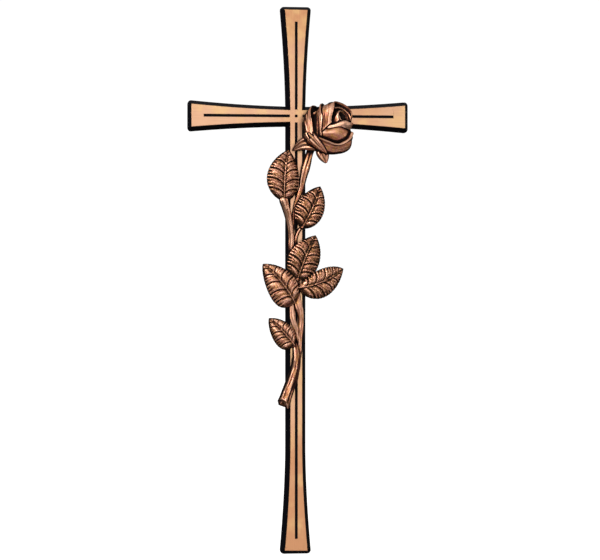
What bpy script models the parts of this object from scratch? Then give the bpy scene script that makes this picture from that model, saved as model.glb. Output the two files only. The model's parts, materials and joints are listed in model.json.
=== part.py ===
"""Bronze cross for a headstone, with a rose branch in front of it: two castings.

Metres. +X is to the viewer's right, +Z is up and the front faces -Y.
The origin is on the flat back, where the axes of the four arms cross.
"""

import math
from typing import NamedTuple

import bmesh
import bpy
from mathutils import Vector

# Cross
DEPTH = 0.009  # from the flat back to the polished face
EDGE_DEPTH = 0.0035  # the upright edge, before the slope up to the face
SLOPE = 0.003  # how far the face stands in from the outline
BAR_HALF = 0.0043  # half the width of the face along the straight bars
END_HALF = 0.00825  # and at the flared ends
REACH = {"right": 0.080, "top": 0.0773, "left": 0.076, "bottom": 0.3165}
FLARE = 0.076  # an arm widens over this last stretch
FLARE_POWER = 1.75
CORNER_STEPS = 3
SIDE_STEPS = 8
GROOVE_WIDTH = 0.0019
GROOVE_DEPTH = 0.0012
GROOVE_MARGIN = 0.0085  # from a groove's outer end to the end of the face
GROOVE_START = 0.0047  # from the crossing to a groove's inner end

# Rose branch
GAP = 0.0003  # between the face and the branch that lies on it
FRONT = DEPTH + GAP
STEM_RISE = 0.6  # a stem's middle stands this many radii in front of the face
STEM_ROUTES = {
    # x, z and radius along each stem, from its root upwards
    "stalk": [
        (-0.0102, -0.2115, 0.0042), (-0.0064, -0.2005, 0.0041), (-0.0034, -0.1922, 0.0038),
        (-0.0014, -0.1850, 0.0034), (-0.0003, -0.1780, 0.0031), (-0.0002, -0.1720, 0.0026),
        (-0.0012, -0.1655, 0.0018),
    ],
    "right_stem": [
        (-0.0004, -0.1840, 0.0020), (0.0020, -0.1720, 0.0018), (0.0025, -0.1625, 0.0018),
        (0.0030, -0.1552, 0.0021), (0.0033, -0.1486, 0.0023), (0.0028, -0.1428, 0.0026),
        (0.0012, -0.1374, 0.0028), (0.0004, -0.1319, 0.0025), (0.0004, -0.1262, 0.0022),
        (0.0002, -0.1205, 0.0022), (0.0016, -0.1150, 0.0020),
    ],
    "left_stem": [
        (0.0020, -0.1640, 0.0016), (-0.0005, -0.1552, 0.0020), (-0.0028, -0.1479, 0.0023),
        (-0.0033, -0.1406, 0.0021), (-0.0041, -0.1268, 0.0021), (-0.0042, -0.1100, 0.0021),
        (-0.0037, -0.0950, 0.0021), (-0.0038, -0.0880, 0.0021), (-0.0047, -0.0805, 0.0023),
        (-0.0063, -0.0720, 0.0025), (-0.0080, -0.0665, 0.0027), (-0.0095, -0.0610, 0.0032),
        (-0.0097, -0.0565, 0.0014),
    ],
    "leaf_stem": [
        (-0.0036, -0.1160, 0.0016), (-0.0012, -0.1040, 0.0016), (-0.0010, -0.0926, 0.0015),
        (0.0008, -0.0852, 0.0013), (0.0046, -0.0800, 0.0011),
    ],
    "rose_stem": [
        (-0.0034, -0.0970, 0.0014), (-0.0025, -0.0774, 0.0015), (-0.0006, -0.0650, 0.0016),
        (0.0018, -0.0580, 0.0018), (0.0036, -0.0520, 0.0020), (0.0046, -0.0460, 0.0025),
        (0.0060, -0.0400, 0.0030), (0.0078, -0.0335, 0.0030), (0.0103, -0.0254, 0.0029),
        (0.0150, -0.0185, 0.0031),
    ],
}
STEM_SIDES = 2  # bevel resolution, for eight sides
STEM_STEPS = 2
SMOOTH_ANGLE = 30  # degrees: sharper folds stay sharp

LEAF_VEINS = 6  # segments between the side veins, on each side
LEAF_ROWS = LEAF_VEINS * 3  # one row in each vein and one on each side of it
ROW_CROWDING = 0.15  # how much closer to the vein those two stand
LEAF_COLUMNS = 8
COLUMN_CROWDING = 1.6  # high puts the columns closer together beside the midrib
LEAF_TIP_SHARPNESS = 0.8
LEAF_THICKNESS = 0.0022
LEAF_THINNING = 0.35  # the share of its thickness lost at the margin
LEAF_STALK_HALF = 0.0009
STALK_NARROWING = 0.7  # the share of that lost at the tip
LEAF_END = 0.12  # the share of its length over which the relief fades out at both ends
MIDRIB_HEIGHT = 0.0010
MIDRIB_WIDTH = 0.0009
MIDRIB_FALL = 0.5  # the share of its height lost at the tip
VEIN_DEPTH = 0.0010
VEIN_HALF = 0.16  # half the width of a vein's groove, as a share of the vein spacing
VEIN_ROOT = 0.2  # a vein is at its full depth from this share of the half width
VEIN_FALL = 0.6  # the share of its depth lost at the margin
SWELL = 0.0010  # how far each half of a blade swells forwards
SWELL_PLACE = 0.75  # low puts the highest part further out
EDGE_POWER = 4  # how late the margins turn back
VEIN_SWEEP = 0.38  # how far a side vein climbs towards the tip
VEIN_BEND = 3.0  # high bends a vein more sharply beside the midrib
VEIN_START = 0.6  # low lets the first veins climb as much as the others
VEIN_CROWDING = 0.2  # how much closer the veins stand at the two ends

PETAL_ROWS = 9
PETAL_COLUMNS = 8
PETAL_CROWDING = 1.5  # high puts the rows closer together towards the rim
PETAL_THICKNESS = 0.0013
WALL_SHARE = 0.7  # a petal is never thicker than this share of its radius
PETAL_ROOT = 0.0035  # radius of the rose where the petals start
FILL_DEPTH = 0.8  # the filling at its base reaches in by this share of its radius
FILL_BLEND = 0.25  # share of a petal over which that filling thins out
LIP_START = 0.85  # share of a petal below its rolled lip
RIM_START = 0.65  # a petal thins from this share of its height
RIM_THINNING = 0.65  # the share of its thickness lost at its rim
PROFILE_STEP = 0.01  # share of a petal over which its slope is measured
ROSE_BASE = (0.0120, -0.0140, -0.0232)
ROSE_HEADING = 48  # degrees from +X towards +Z
ROSE_TILT = 22  # degrees towards the viewer
ROSE_RELIEF = 0.56  # how much of its full depth the rose keeps
SEPAL_ROWS = 6
SEPAL_COLUMNS = 4
SEPAL_TIP = 0.7  # how bluntly its tip ends
SEPAL_STALK = 0.15  # the share of its width that it keeps at both ends
SEPAL_ROOT_CROWN = 0.15  # where on its arch it starts
SEPAL_ROUNDING = 0.6  # the share of its crown lost at its two edges
CORE_RADIUS = 0.0130
CORE_MIDDLE = 0.0135
CORE_HALF = 0.0145
CORE_SEGMENTS = 12
CORE_RINGS = 8


class Leaf(NamedTuple):
    """One blade, from the end of its stalk. Left and right are as seen looking to its tip."""

    base: tuple  # x and z
    length: float
    heading: float  # degrees from +X towards +Z
    left: float  # widest half width on each side
    right: float
    left_fullness: float  # low is full near the stalk, high is full near the middle
    right_fullness: float
    bow: float  # how far the midrib bends to the right
    rise: float  # how far the stalk's end stands in front of the face
    tip_rise: float  # and the tip
    arch: float  # how far the middle swells beyond those two
    roll: float  # degrees that bring the left side forwards


LEAVES = {
    "upper_left": Leaf(
        (-0.0090, -0.0625), 0.0378, 85.6, 0.0131, 0.0107, 0.62, 0.58, -0.0013,
        0.0030, 0.0026, 0.0026, 6,
    ),
    "upper_right": Leaf(
        (0.0037, -0.0818), 0.0333, 65.9, 0.0112, 0.0092, 0.62, 0.56, 0.0009,
        0.0032, 0.0022, 0.0026, -6,
    ),
    "middle": Leaf(
        (0.0001, -0.1196), 0.0352, 67.3, 0.0118, 0.0113, 0.50, 0.60, -0.0010,
        0.0052, 0.0040, 0.0026, 3,
    ),
    "lower_left": Leaf(
        (-0.0014, -0.1363), 0.0366, 129.1, 0.0130, 0.0094, 0.39, 0.62, 0.0018,
        0.0040, 0.0022, 0.0030, -4,
    ),
    "lower_right": Leaf(
        (0.0008, -0.1252), 0.0362, 22.4, 0.0090, 0.0112, 0.90, 0.50, 0.0027,
        0.0044, 0.0022, 0.0026, 5,
    ),
    "lowest": Leaf(
        (-0.0014, -0.1675), 0.0275, 132.9, 0.0098, 0.0068, 0.42, 0.75, 0.0007,
        0.0030, 0.0020, 0.0022, -4,
    ),
}


class Petal(NamedTuple):
    """One petal, in turns about the rose's axis: 0 is lower right, 90 faces the viewer.

    Each tuple holds values at even steps from the petal's low angle to its high angle."""

    facing: float  # degrees
    spread: float  # half the angle it covers, degrees
    heights: tuple  # of the rim above the base
    mouths: tuple  # radius of the rim
    bellies: tuple  # radius of the body
    lips: tuple  # radius through which the rim rolls, outwards or, below 0, inwards
    belly_at: float = 0.6  # share of the height
    fill: float = 0.8  # share of its height up to which its inside is filled
    roll: float = 90  # degrees through which its rim turns
    lip_height: float = -1.0  # height of the rolled rim, in its radii
    swelling: float = 0.8  # low is full near the base


ROUND_RIM = (-0.0005, -0.0005)
PETALS = {
    "bud_heart": Petal(
        262, 62, (0.0318, 0.0330, 0.0322), (0.0036, 0.0040, 0.0038), (0.0042, 0.0042), ROUND_RIM,
        fill=0.80,
    ),
    "bud_inner": Petal(
        62, 78, (0.0304, 0.0304, 0.0314), (0.0036, 0.0032, 0.0026), (0.0042, 0.0038), ROUND_RIM,
        fill=0.80,
    ),
    "bud_outer": Petal(
        222, 130, (0.0303, 0.0333, 0.0338, 0.0336, 0.0320), (0.0052, 0.0045, 0.0044, 0.0053, 0.0060),
        (0.0068, 0.0068), ROUND_RIM, fill=0.80,
    ),
    "hood_inner": Petal(
        262, 78, (0.0315, 0.0338, 0.0343, 0.0340, 0.0312), (0.0087, 0.0087), (0.0096, 0.0096),
        ROUND_RIM, fill=0.80,
    ),
    "hood": Petal(
        217.5, 112.5, (0.0264, 0.0350, 0.0361, 0.0362, 0.0368, 0.0356, 0.0300),
        (0.0124, 0.0118, 0.0116, 0.0110, 0.0107, 0.0107, 0.0104), (0.0150, 0.0150), ROUND_RIM,
        belly_at=0.74, fill=0.84,
    ),
    "front": Petal(
        20.5, 80.5, (0.0250, 0.0285, 0.0300, 0.0304, 0.0308, 0.0297, 0.0224),
        (0.0085, 0.0080, 0.0076, 0.0080, 0.0085, 0.0093, 0.0103),
        (0.0166, 0.0174, 0.0172, 0.0160, 0.0150, 0.0146, 0.0150),
        (0.0006, 0.0010, 0.0013, 0.0014, 0.0014, 0.0014, 0.0009), belly_at=0.78, roll=185,
        lip_height=2.6, swelling=1.3,
    ),
    "fold": Petal(
        169, 71, (0.0166, 0.0251, 0.0272, 0.0266, 0.0240), (0.0170, 0.0171, 0.0172, 0.0184, 0.0202),
        (0.0155, 0.0156, 0.0174), ROUND_RIM, belly_at=0.78,
    ),
    "outer_left": Petal(
        170, 62, (0.0120, 0.0178, 0.0198, 0.0206, 0.0190),
        (0.0197, 0.0202, 0.0207, 0.0224, 0.0230), (0.0202, 0.0200, 0.0204, 0.0220, 0.0226),
        ROUND_RIM, belly_at=0.80,
    ),
    "outer_right": Petal(
        11.5, 91.5,
        (
            0.0205, 0.0222, 0.0237, 0.0248, 0.0254, 0.0268, 0.0284, 0.0242, 0.0186, 0.0166, 0.0157,
            0.0141, 0.0122,
        ),
        (
            0.0130, 0.0128, 0.0126, 0.0124, 0.0124, 0.0126, 0.0136, 0.0158, 0.0161, 0.0163, 0.0166,
            0.0164, 0.0160,
        ),
        (0.0176, 0.0190, 0.0200, 0.0199, 0.0172, 0.0160, 0.0150), (0.0005, 0.0007, 0.0007),
        belly_at=0.64, roll=140, lip_height=1.2,
    ),
    "outer_back": Petal(
        262, 70, (0.0220, 0.0270, 0.0220), (0.0160, 0.0160), (0.0180, 0.0180), ROUND_RIM
    ),
}


class Sepal(NamedTuple):
    """A narrow pointed blade, from x, y, z to x, y, z."""

    root: tuple
    tip: tuple
    half_width: float
    fullness: float
    crown: float  # how far its middle stands out
    thickness: float
    bow: float  # how far its middle bends sideways


SEPALS = {
    "left": Sepal(
        (0.0135, -0.0190, -0.0215), (-0.0030, -0.0125, -0.0250), 0.0050, 0.30, 0.0032, 0.0026,
        0.0025,
    ),
    "low": Sepal(
        (0.0165, -0.0172, -0.0225), (0.0210, -0.0190, -0.0347), 0.0044, 0.40, 0.0026, 0.0040,
        0.0,
    ),
    "band": Sepal(
        (0.0060, -0.0222, -0.0120), (0.0205, -0.0232, -0.0275), 0.0036, 0.28, 0.0048, 0.0110,
        0.0006,
    ),
}

# The slanting cut at the foot of the stalk, and the pith hole in it
CUT_POINT = (-0.0104, -0.0120, -0.2107)
CUT_HEADING = -53  # degrees from +X towards +Z, along the cut
CUT_TILT = 35  # degrees that turn the cut towards the viewer
CUT_BLOCK = 0.02
PITH_RADIUS = 0.0011
PITH_SIDES = 8
PITH_DEPTH = 0.003
CLEAR = 0.5  # half the side of the block that cuts off what lies behind the plane of the back

MATERIALS = {
    # colour, roughness
    "cross_bronze": ((0.78, 0.47, 0.24, 1.0), 0.35),
    "rose_bronze": ((0.33, 0.17, 0.09, 1.0), 0.45),
}


def clear_scene():
    for old in list(bpy.data.objects):
        bpy.data.objects.remove(old, do_unlink=True)


def new_collection(name):
    collection = bpy.data.collections.new(name)
    bpy.context.scene.collection.children.link(collection)
    return collection


def bronze(name):
    colour, roughness = MATERIALS[name]
    material = bpy.data.materials.new(name)
    material.use_nodes = True
    shader = material.node_tree.nodes["Principled BSDF"]
    shader.inputs["Base Color"].default_value = colour
    shader.inputs["Metallic"].default_value = 1.0
    shader.inputs["Roughness"].default_value = roughness
    return material


def mesh_object(name, shape, collection):
    """The bmesh as an object, with its faces turned outwards."""
    bmesh.ops.recalc_face_normals(shape, faces=shape.faces[:])
    if shape.calc_volume(signed=True) < 0:
        bmesh.ops.reverse_faces(shape, faces=shape.faces[:])
    mesh = bpy.data.meshes.new(name)
    shape.to_mesh(mesh)
    shape.free()
    made = bpy.data.objects.new(name, mesh)
    collection.objects.link(made)
    return made


def make_cutter(cutter):
    cutter.hide_render = True
    cutter.display_type = "WIRE"
    return cutter


def box(name, low, high, collection):
    """An upright box between two corners."""
    shape = bmesh.new()
    bmesh.ops.create_cube(shape, size=1.0)
    low, high = Vector(low), Vector(high)
    bmesh.ops.scale(shape, vec=high - low, verts=shape.verts[:])
    bmesh.ops.translate(shape, vec=(low + high) / 2, verts=shape.verts[:])
    return mesh_object(name, shape, collection)


def boolean(target, operation, operand):
    modifier = target.modifiers.new(operation.title(), "BOOLEAN")
    modifier.operation = operation
    modifier.solver = "EXACT"
    if isinstance(operand, bpy.types.Collection):
        modifier.operand_type = "COLLECTION"
        modifier.collection = operand
    else:
        modifier.object = operand


def smooth(made, angle):
    made.data.shade_smooth()
    made.data.set_sharp_from_angle(angle=math.radians(angle))


# Cross

ARM_TURNS = {"right": 0, "top": 90, "left": 180, "bottom": 270}


def heading(degrees):
    angle = math.radians(degrees)
    return Vector((math.cos(angle), 0.0, math.sin(angle)))


def face_half(arm, distance):
    """Half the width of the face, at a distance from the crossing."""
    along = max(0.0, (distance - REACH[arm] + FLARE) / FLARE)
    return BAR_HALF + (END_HALF - BAR_HALF) * along**FLARE_POWER


def arm_side(arm, side):
    """Points along one side of an arm's face, outwards, each with its outward normal."""
    along = heading(ARM_TURNS[arm])
    across = heading(ARM_TURNS[arm] + 90 * side)
    start = max(BAR_HALF, REACH[arm] - FLARE)
    points = []
    for step in range(1, SIDE_STEPS + 1):
        distance = start + (REACH[arm] - start) * step / SIDE_STEPS
        half = face_half(arm, distance)
        widening = (half - face_half(arm, distance - GAP)) / GAP
        normal = (across - along * widening).normalized()
        points.append((along * distance + across * half, normal))
    return points


def cross_rings():
    """The face's outline and the outline of the whole, point for point, anticlockwise from the front."""
    face, outline = [], []
    for arm, turn in ARM_TURNS.items():
        corner = (heading(turn) + heading(turn - 90)) * BAR_HALF
        face.append(corner)
        outline.append(corner + (heading(turn) + heading(turn - 90)) * SLOPE)
        near, far = arm_side(arm, -1), arm_side(arm, 1)
        for point, normal in near:
            face.append(point)
            outline.append(point + normal * SLOPE)
        for tip, leaving in ((near[-1], heading(turn)), (far[-1], None)):
            point, normal = tip
            first = normal if leaving else heading(turn)
            last = heading(turn) if leaving else normal
            for step in range(1 if leaving else 0, CORNER_STEPS + (1 if leaving else 0)):
                bent = first.slerp(last, step / CORNER_STEPS)
                face.append(point)
                outline.append(point + bent * SLOPE)
        for point, normal in reversed(far):
            face.append(point)
            outline.append(point + normal * SLOPE)
    return face, outline


def cross_blank(collection):
    """The ungrooved cross: upright edge, then a slope up to the smaller, sharp-cornered face."""
    face, outline = cross_rings()
    levels = ((outline, 0.0), (outline, EDGE_DEPTH), (face, DEPTH))
    shape = bmesh.new()
    rings = [
        [shape.verts.new(point - Vector((0.0, depth, 0.0))) for point in ring]
        for ring, depth in levels
    ]
    for lower, upper in zip(rings, rings[1:]):
        for index in range(len(lower)):
            after = (index + 1) % len(lower)
            shape.faces.new((lower[index], lower[after], upper[after], upper[index]))
    shape.faces.new(rings[0])
    shape.faces.new(rings[-1])
    bmesh.ops.remove_doubles(shape, verts=shape.verts[:], dist=1e-6)
    return mesh_object("cross", shape, collection)


def groove_cutters(collection):
    """One bar for each arm's groove, and a small square one at the crossing."""
    half = GROOVE_WIDTH / 2
    depth = Vector((0.0, -(DEPTH - GROOVE_DEPTH), 0.0))
    clear = Vector((0.0, -DEPTH * 2, 0.0))
    for arm, turn in ARM_TURNS.items():
        along, across = heading(turn), heading(turn + 90)
        near = along * GROOVE_START - across * half
        far = along * (REACH[arm] - GROOVE_MARGIN) + across * half
        low = [min(pair) for pair in zip(near, far)]
        high = [max(pair) for pair in zip(near, far)]
        make_cutter(box(f"groove_{arm}", Vector(low) + clear, Vector(high) + depth, collection))
    square = Vector((half, 0.0, half))
    make_cutter(box("groove_centre", clear - square, square + depth, collection))


# Rose branch


def sheet(name, columns, rows, front, back, collection):
    """A closed body between two surfaces over the same grid: u from -1 to 1 across, t from 0 to 1 along."""
    shape = bmesh.new()
    bmesh.ops.create_grid(shape, x_segments=columns, y_segments=rows, size=1.0)
    front_verts = shape.verts[:]
    grid_faces = shape.faces[:]
    made = bmesh.ops.extrude_face_region(shape, geom=grid_faces, use_keep_orig=True)
    back_verts = [item for item in made["geom"] if isinstance(item, bmesh.types.BMVert)]
    for vert in front_verts:
        vert.co = front(vert.co.x, (vert.co.y + 1) / 2)
    for vert in back_verts:
        vert.co = back(vert.co.x, (vert.co.y + 1) / 2)
    return mesh_object(name, shape, collection)


def smooth_step(value):
    value = min(1.0, max(0.0, value))
    return value * value * (3 - 2 * value)


def blade_half(leaf, side, along):
    """Half the width of a leaf at a share of its length: rounded at the stalk, pointed at the tip."""
    width = leaf.right if side > 0 else leaf.left
    fullness = leaf.right_fullness if side > 0 else leaf.left_fullness
    peak = fullness / (fullness + LEAF_TIP_SHARPNESS)
    along = min(1.0, max(0.0, along))
    most = peak**fullness * (1 - peak) ** LEAF_TIP_SHARPNESS
    half = width * along**fullness * (1 - along) ** LEAF_TIP_SHARPNESS / most
    return max(half, LEAF_STALK_HALF * (1 - STALK_NARROWING * along))


def blade_point(leaf, across, row, lift):
    """A point of a leaf: across is -1 to 1, row is 0 to 1 from stalk to tip, lift is forwards."""
    out = abs(across)
    along = row - VEIN_CROWDING / math.tau * math.sin(math.tau * row)
    climb = along**VEIN_START * (1 - along) * (1 - (1 - out) ** VEIN_BEND)
    share = along + VEIN_SWEEP * climb
    half = blade_half(leaf, across, share)
    onward, right = heading(leaf.heading), heading(leaf.heading - 90)
    middle = 4 * share * (1 - share)
    sideways = leaf.bow * middle + across * half
    forward = leaf.rise + (leaf.tip_rise - leaf.rise) * share + leaf.arch * middle
    forward -= across * half * math.tan(math.radians(leaf.roll))
    base = Vector((leaf.base[0], -FRONT, leaf.base[1]))
    place = base + onward * leaf.length * share + right * sideways
    return place - Vector((0.0, forward + lift, 0.0))


def spaced_column(column):
    """Columns closer together beside the midrib."""
    return math.copysign(abs(column) ** COLUMN_CROWDING, column)


def spaced_row(row):
    """Rows closer together beside the side veins."""
    return row - ROW_CROWDING / LEAF_VEINS * math.sin(math.tau * LEAF_VEINS * row)


def turned_edge(across):
    """How far a blade's edges bend back."""
    return SWELL / 2 * across**EDGE_POWER


def leaf_relief(leaf, across, row):
    """How far the front of a blade stands out: midrib, swollen halves and sunk side veins."""
    out = abs(across)
    half = blade_half(leaf, across, row)
    fade = smooth_step(row / LEAF_END) * smooth_step((1 - row) / LEAF_END)
    midrib = MIDRIB_HEIGHT * math.exp(-((out * half / MIDRIB_WIDTH) ** 2)) * (1 - MIDRIB_FALL * row)
    swell = SWELL * math.sin(math.pi * out**SWELL_PLACE) * fade
    phase = LEAF_VEINS * row
    nearness = abs(phase - round(phase)) / VEIN_HALF
    vein = VEIN_DEPTH * smooth_step(1 - nearness) * smooth_step(out / VEIN_ROOT)
    return midrib + swell - vein * fade * (1 - VEIN_FALL * out**2) - turned_edge(across)


def leaf(name, blade, collection):
    def front(column, row):
        across, along = spaced_column(column), spaced_row(row)
        return blade_point(blade, across, along, leaf_relief(blade, across, along))

    def back(column, row):
        across, along = spaced_column(column), spaced_row(row)
        thickness = LEAF_THICKNESS * (1 - LEAF_THINNING * across**2)
        return blade_point(blade, across, along, -thickness - turned_edge(across))

    return sheet(name, LEAF_COLUMNS, LEAF_ROWS, front, back, collection)


def rose_axes():
    """The rose's axis, then the two directions across it: to the lower right and to the viewer."""
    tilt = math.radians(ROSE_TILT)
    axis = heading(ROSE_HEADING) * math.cos(tilt) - Vector((0.0, math.sin(tilt), 0.0))
    right = heading(ROSE_HEADING - 90)
    return axis, right, right.cross(axis).normalized()


def rose_point(angle, radius, height):
    """A point at an angle and radius about the rose's axis, flattened as the relief is."""
    axis, right, front = rose_axes()
    turn = math.radians(angle)
    offset = axis * height + (right * math.cos(turn) + front * math.sin(turn)) * radius
    offset.y *= ROSE_RELIEF
    return Vector(ROSE_BASE) + offset


def between(values, across):
    """A smooth curve through values at even steps from -1 to 1."""
    last = len(values) - 1
    place = (across + 1) / 2 * last
    step = min(int(place), last - 1)
    share = place - step
    start, end = values[step], values[step + 1]
    leaving = (end - values[max(step - 1, 0)]) / 2
    arriving = (values[min(step + 2, last)] - start) / 2
    bend = start - end
    return start + share * (leaving + share * (
        -3 * bend - 2 * leaving - arriving + share * (2 * bend + leaving + arriving)
    ))


def petal_profile(form, across, along):
    """Radius and height on a petal's outer side, from the base to the end of its rolled lip."""
    rim, mouth = between(form.heights, across), between(form.mouths, across)
    belly, lip = between(form.bellies, across), between(form.lips, across)
    climb = min(1.0, along / LIP_START)
    if climb < form.belly_at:
        swelling = math.sin(math.pi / 2 * climb / form.belly_at) ** form.swelling
        radius = PETAL_ROOT + (belly - PETAL_ROOT) * swelling
    else:
        closing = ((climb - form.belly_at) / (1 - form.belly_at)) ** 2
        radius = belly + (mouth - belly) * closing
    turn = math.radians(form.roll) * max(0.0, along - LIP_START) / (1 - LIP_START)
    rise = lip * form.lip_height * math.sin(turn)
    return Vector((radius + lip * (1 - math.cos(turn)), rim * climb + rise))


def petal_inside(form, across, along):
    """The point of the inner side behind it: thin at the lip, filled to near the axis at the base."""
    place = petal_profile(form, across, along)
    after = petal_profile(form, across, min(1.0, along + PROFILE_STEP))
    before = petal_profile(form, across, max(0.0, along - PROFILE_STEP))
    rise = (after - before).normalized()
    thinning = 1 - RIM_THINNING * smooth_step((along - RIM_START) / (1 - RIM_START))
    thickness = min(PETAL_THICKNESS, WALL_SHARE * place.x) * thinning
    filled = smooth_step((form.fill - along) / FILL_BLEND)
    inward = Vector((-rise.y, rise.x)).lerp(Vector((-1.0, 0.0)), filled)
    return place + inward * (thickness + (place.x * FILL_DEPTH - thickness) * filled)


def petal(name, form, collection):
    def placed(across, row, side):
        spot = side(form, across, 1 - (1 - row) ** PETAL_CROWDING)
        return rose_point(form.facing + form.spread * across, spot.x, spot.y)

    def front(across, row):
        return placed(across, row, petal_profile)

    def back(across, row):
        return placed(across, row, petal_inside)

    return sheet(name, PETAL_COLUMNS, PETAL_ROWS, front, back, collection)


def sepal(name, form, collection):
    root, tip = Vector(form.root), Vector(form.tip)
    onward = tip - root
    sideways = onward.cross(Vector((0.0, -1.0, 0.0))).normalized()

    def point(across, along, lift):
        peak = form.fullness / (form.fullness + SEPAL_TIP)
        most = peak**form.fullness * (1 - peak) ** SEPAL_TIP
        half = form.half_width * along**form.fullness * (1 - along) ** SEPAL_TIP / most
        half = max(half, form.half_width * SEPAL_STALK)
        place = SEPAL_ROOT_CROWN + (1 - SEPAL_ROOT_CROWN) * along
        crown = form.crown * math.sin(math.pi * place) * (1 - SEPAL_ROUNDING * across**2)
        shift = across * half + form.bow * math.sin(math.pi * along)
        return root + onward * along + sideways * shift - Vector((0.0, crown + lift, 0.0))

    def front(across, along):
        return point(across, along, 0.0)

    def back(across, along):
        return point(across, along, -form.thickness)

    return sheet(name, SEPAL_COLUMNS, SEPAL_ROWS, front, back, collection)


def stem(name, route, collection):
    """A round stem through the points of its route, as a mesh with closed ends."""
    curve = bpy.data.curves.new(name, "CURVE")
    curve.dimensions = "3D"
    curve.resolution_u = STEM_STEPS
    curve.bevel_depth = 1.0
    curve.bevel_resolution = STEM_SIDES
    curve.use_fill_caps = True
    spline = curve.splines.new("BEZIER")
    spline.bezier_points.add(len(route) - 1)
    for point, (x, z, radius) in zip(spline.bezier_points, route):
        point.co = (x, -FRONT - STEM_RISE * radius, z)
        point.radius = radius
        point.handle_left_type = "AUTO"
        point.handle_right_type = "AUTO"
    drawn = bpy.data.objects.new(name + "_line", curve)
    collection.objects.link(drawn)
    graph = bpy.context.evaluated_depsgraph_get()
    mesh = bpy.data.meshes.new_from_object(drawn.evaluated_get(graph))
    shape = bmesh.new()
    shape.from_mesh(mesh)
    bmesh.ops.remove_doubles(shape, verts=shape.verts[:], dist=1e-6)
    made = mesh_object(name, shape, collection)
    made.matrix_world = drawn.matrix_world.copy()
    bpy.data.objects.remove(drawn)
    bpy.data.meshes.remove(mesh)
    return made


def rose_core(collection):
    """A plain egg inside the petals, which joins them and reaches back to the face."""
    shape = bmesh.new()
    bmesh.ops.create_uvsphere(
        shape, u_segments=CORE_SEGMENTS, v_segments=CORE_RINGS, radius=1.0
    )
    for vert in shape.verts:
        x, y, z = vert.co
        angle = math.degrees(math.atan2(y, x))
        vert.co = rose_point(angle, math.hypot(x, y) * CORE_RADIUS, CORE_MIDDLE + z * CORE_HALF)
    return mesh_object("core", shape, collection)


def trim_cutters(collection):
    """What lies behind the plane of the back goes, and so does the foot of the stalk, slantwise."""
    low, high = (-CLEAR, -FRONT, -CLEAR), (CLEAR, CLEAR, CLEAR)
    make_cutter(box("behind", low, high, collection))
    along = heading(CUT_HEADING)
    tilt = math.radians(CUT_TILT)
    outward = heading(CUT_HEADING - 90) * math.cos(tilt) - Vector((0.0, math.sin(tilt), 0.0))
    side = outward.cross(along)
    shape = bmesh.new()
    bmesh.ops.create_cube(shape, size=CUT_BLOCK)
    for vert in shape.verts:
        x, y, z = vert.co
        vert.co = Vector(CUT_POINT) + along * x + side * y + outward * (z + CUT_BLOCK / 2)
    make_cutter(mesh_object("stalk_cut", shape, collection))
    shape = bmesh.new()
    bmesh.ops.create_cone(
        shape, cap_ends=True, segments=PITH_SIDES, radius1=PITH_RADIUS, radius2=PITH_RADIUS,
        depth=PITH_DEPTH * 2,
    )
    turn = outward.to_track_quat("Z", "Y").to_matrix()
    bmesh.ops.rotate(shape, matrix=turn, verts=shape.verts[:])
    bmesh.ops.translate(shape, vec=Vector(CUT_POINT), verts=shape.verts[:])
    make_cutter(mesh_object("pith", shape, collection))


def build_cross(parts, grooves):
    cross = cross_blank(parts)
    groove_cutters(grooves)
    boolean(cross, "DIFFERENCE", grooves)
    cross.data.materials.append(bronze("cross_bronze"))
    return cross


def build_branch(parts, pieces, trims):
    """All the shapes of the rose casting are joined into the stalk, then trimmed."""
    branch = stem("rose_branch", STEM_ROUTES["stalk"], parts)
    for name, route in STEM_ROUTES.items():
        if name != "stalk":
            stem(name, route, pieces)
    for name, blade in LEAVES.items():
        leaf("leaf_" + name, blade, pieces)
    for name, form in PETALS.items():
        petal("petal_" + name, form, pieces)
    for name, form in SEPALS.items():
        sepal("sepal_" + name, form, pieces)
    rose_core(pieces)
    for piece in pieces.objects:
        make_cutter(piece)
        smooth(piece, SMOOTH_ANGLE)
    trim_cutters(trims)
    boolean(branch, "UNION", pieces)
    boolean(branch, "DIFFERENCE", trims)
    branch.data.materials.append(bronze("rose_bronze"))
    smooth(branch, SMOOTH_ANGLE)
    return branch


def main():
    clear_scene()
    parts = new_collection("bronze_cross")
    grooves = new_collection("groove_cutters")
    pieces = new_collection("branch_pieces")
    trims = new_collection("branch_cutters")
    build_cross(parts, grooves)
    build_branch(parts, pieces, trims)


main()
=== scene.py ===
"""Looks of a bronze headstone cross with a rose branch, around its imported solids.

Metres. +X is to the viewer's right, +Z is up and the front faces -Y.
The origin is on the flat back, where the axes of the four arms cross.
"""

import json
import math
from typing import NamedTuple

import bmesh
import bpy
import numpy as np
from bpy.props import FloatProperty, FloatVectorProperty, PointerProperty
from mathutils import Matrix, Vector
from mathutils.bvhtree import BVHTree

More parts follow.
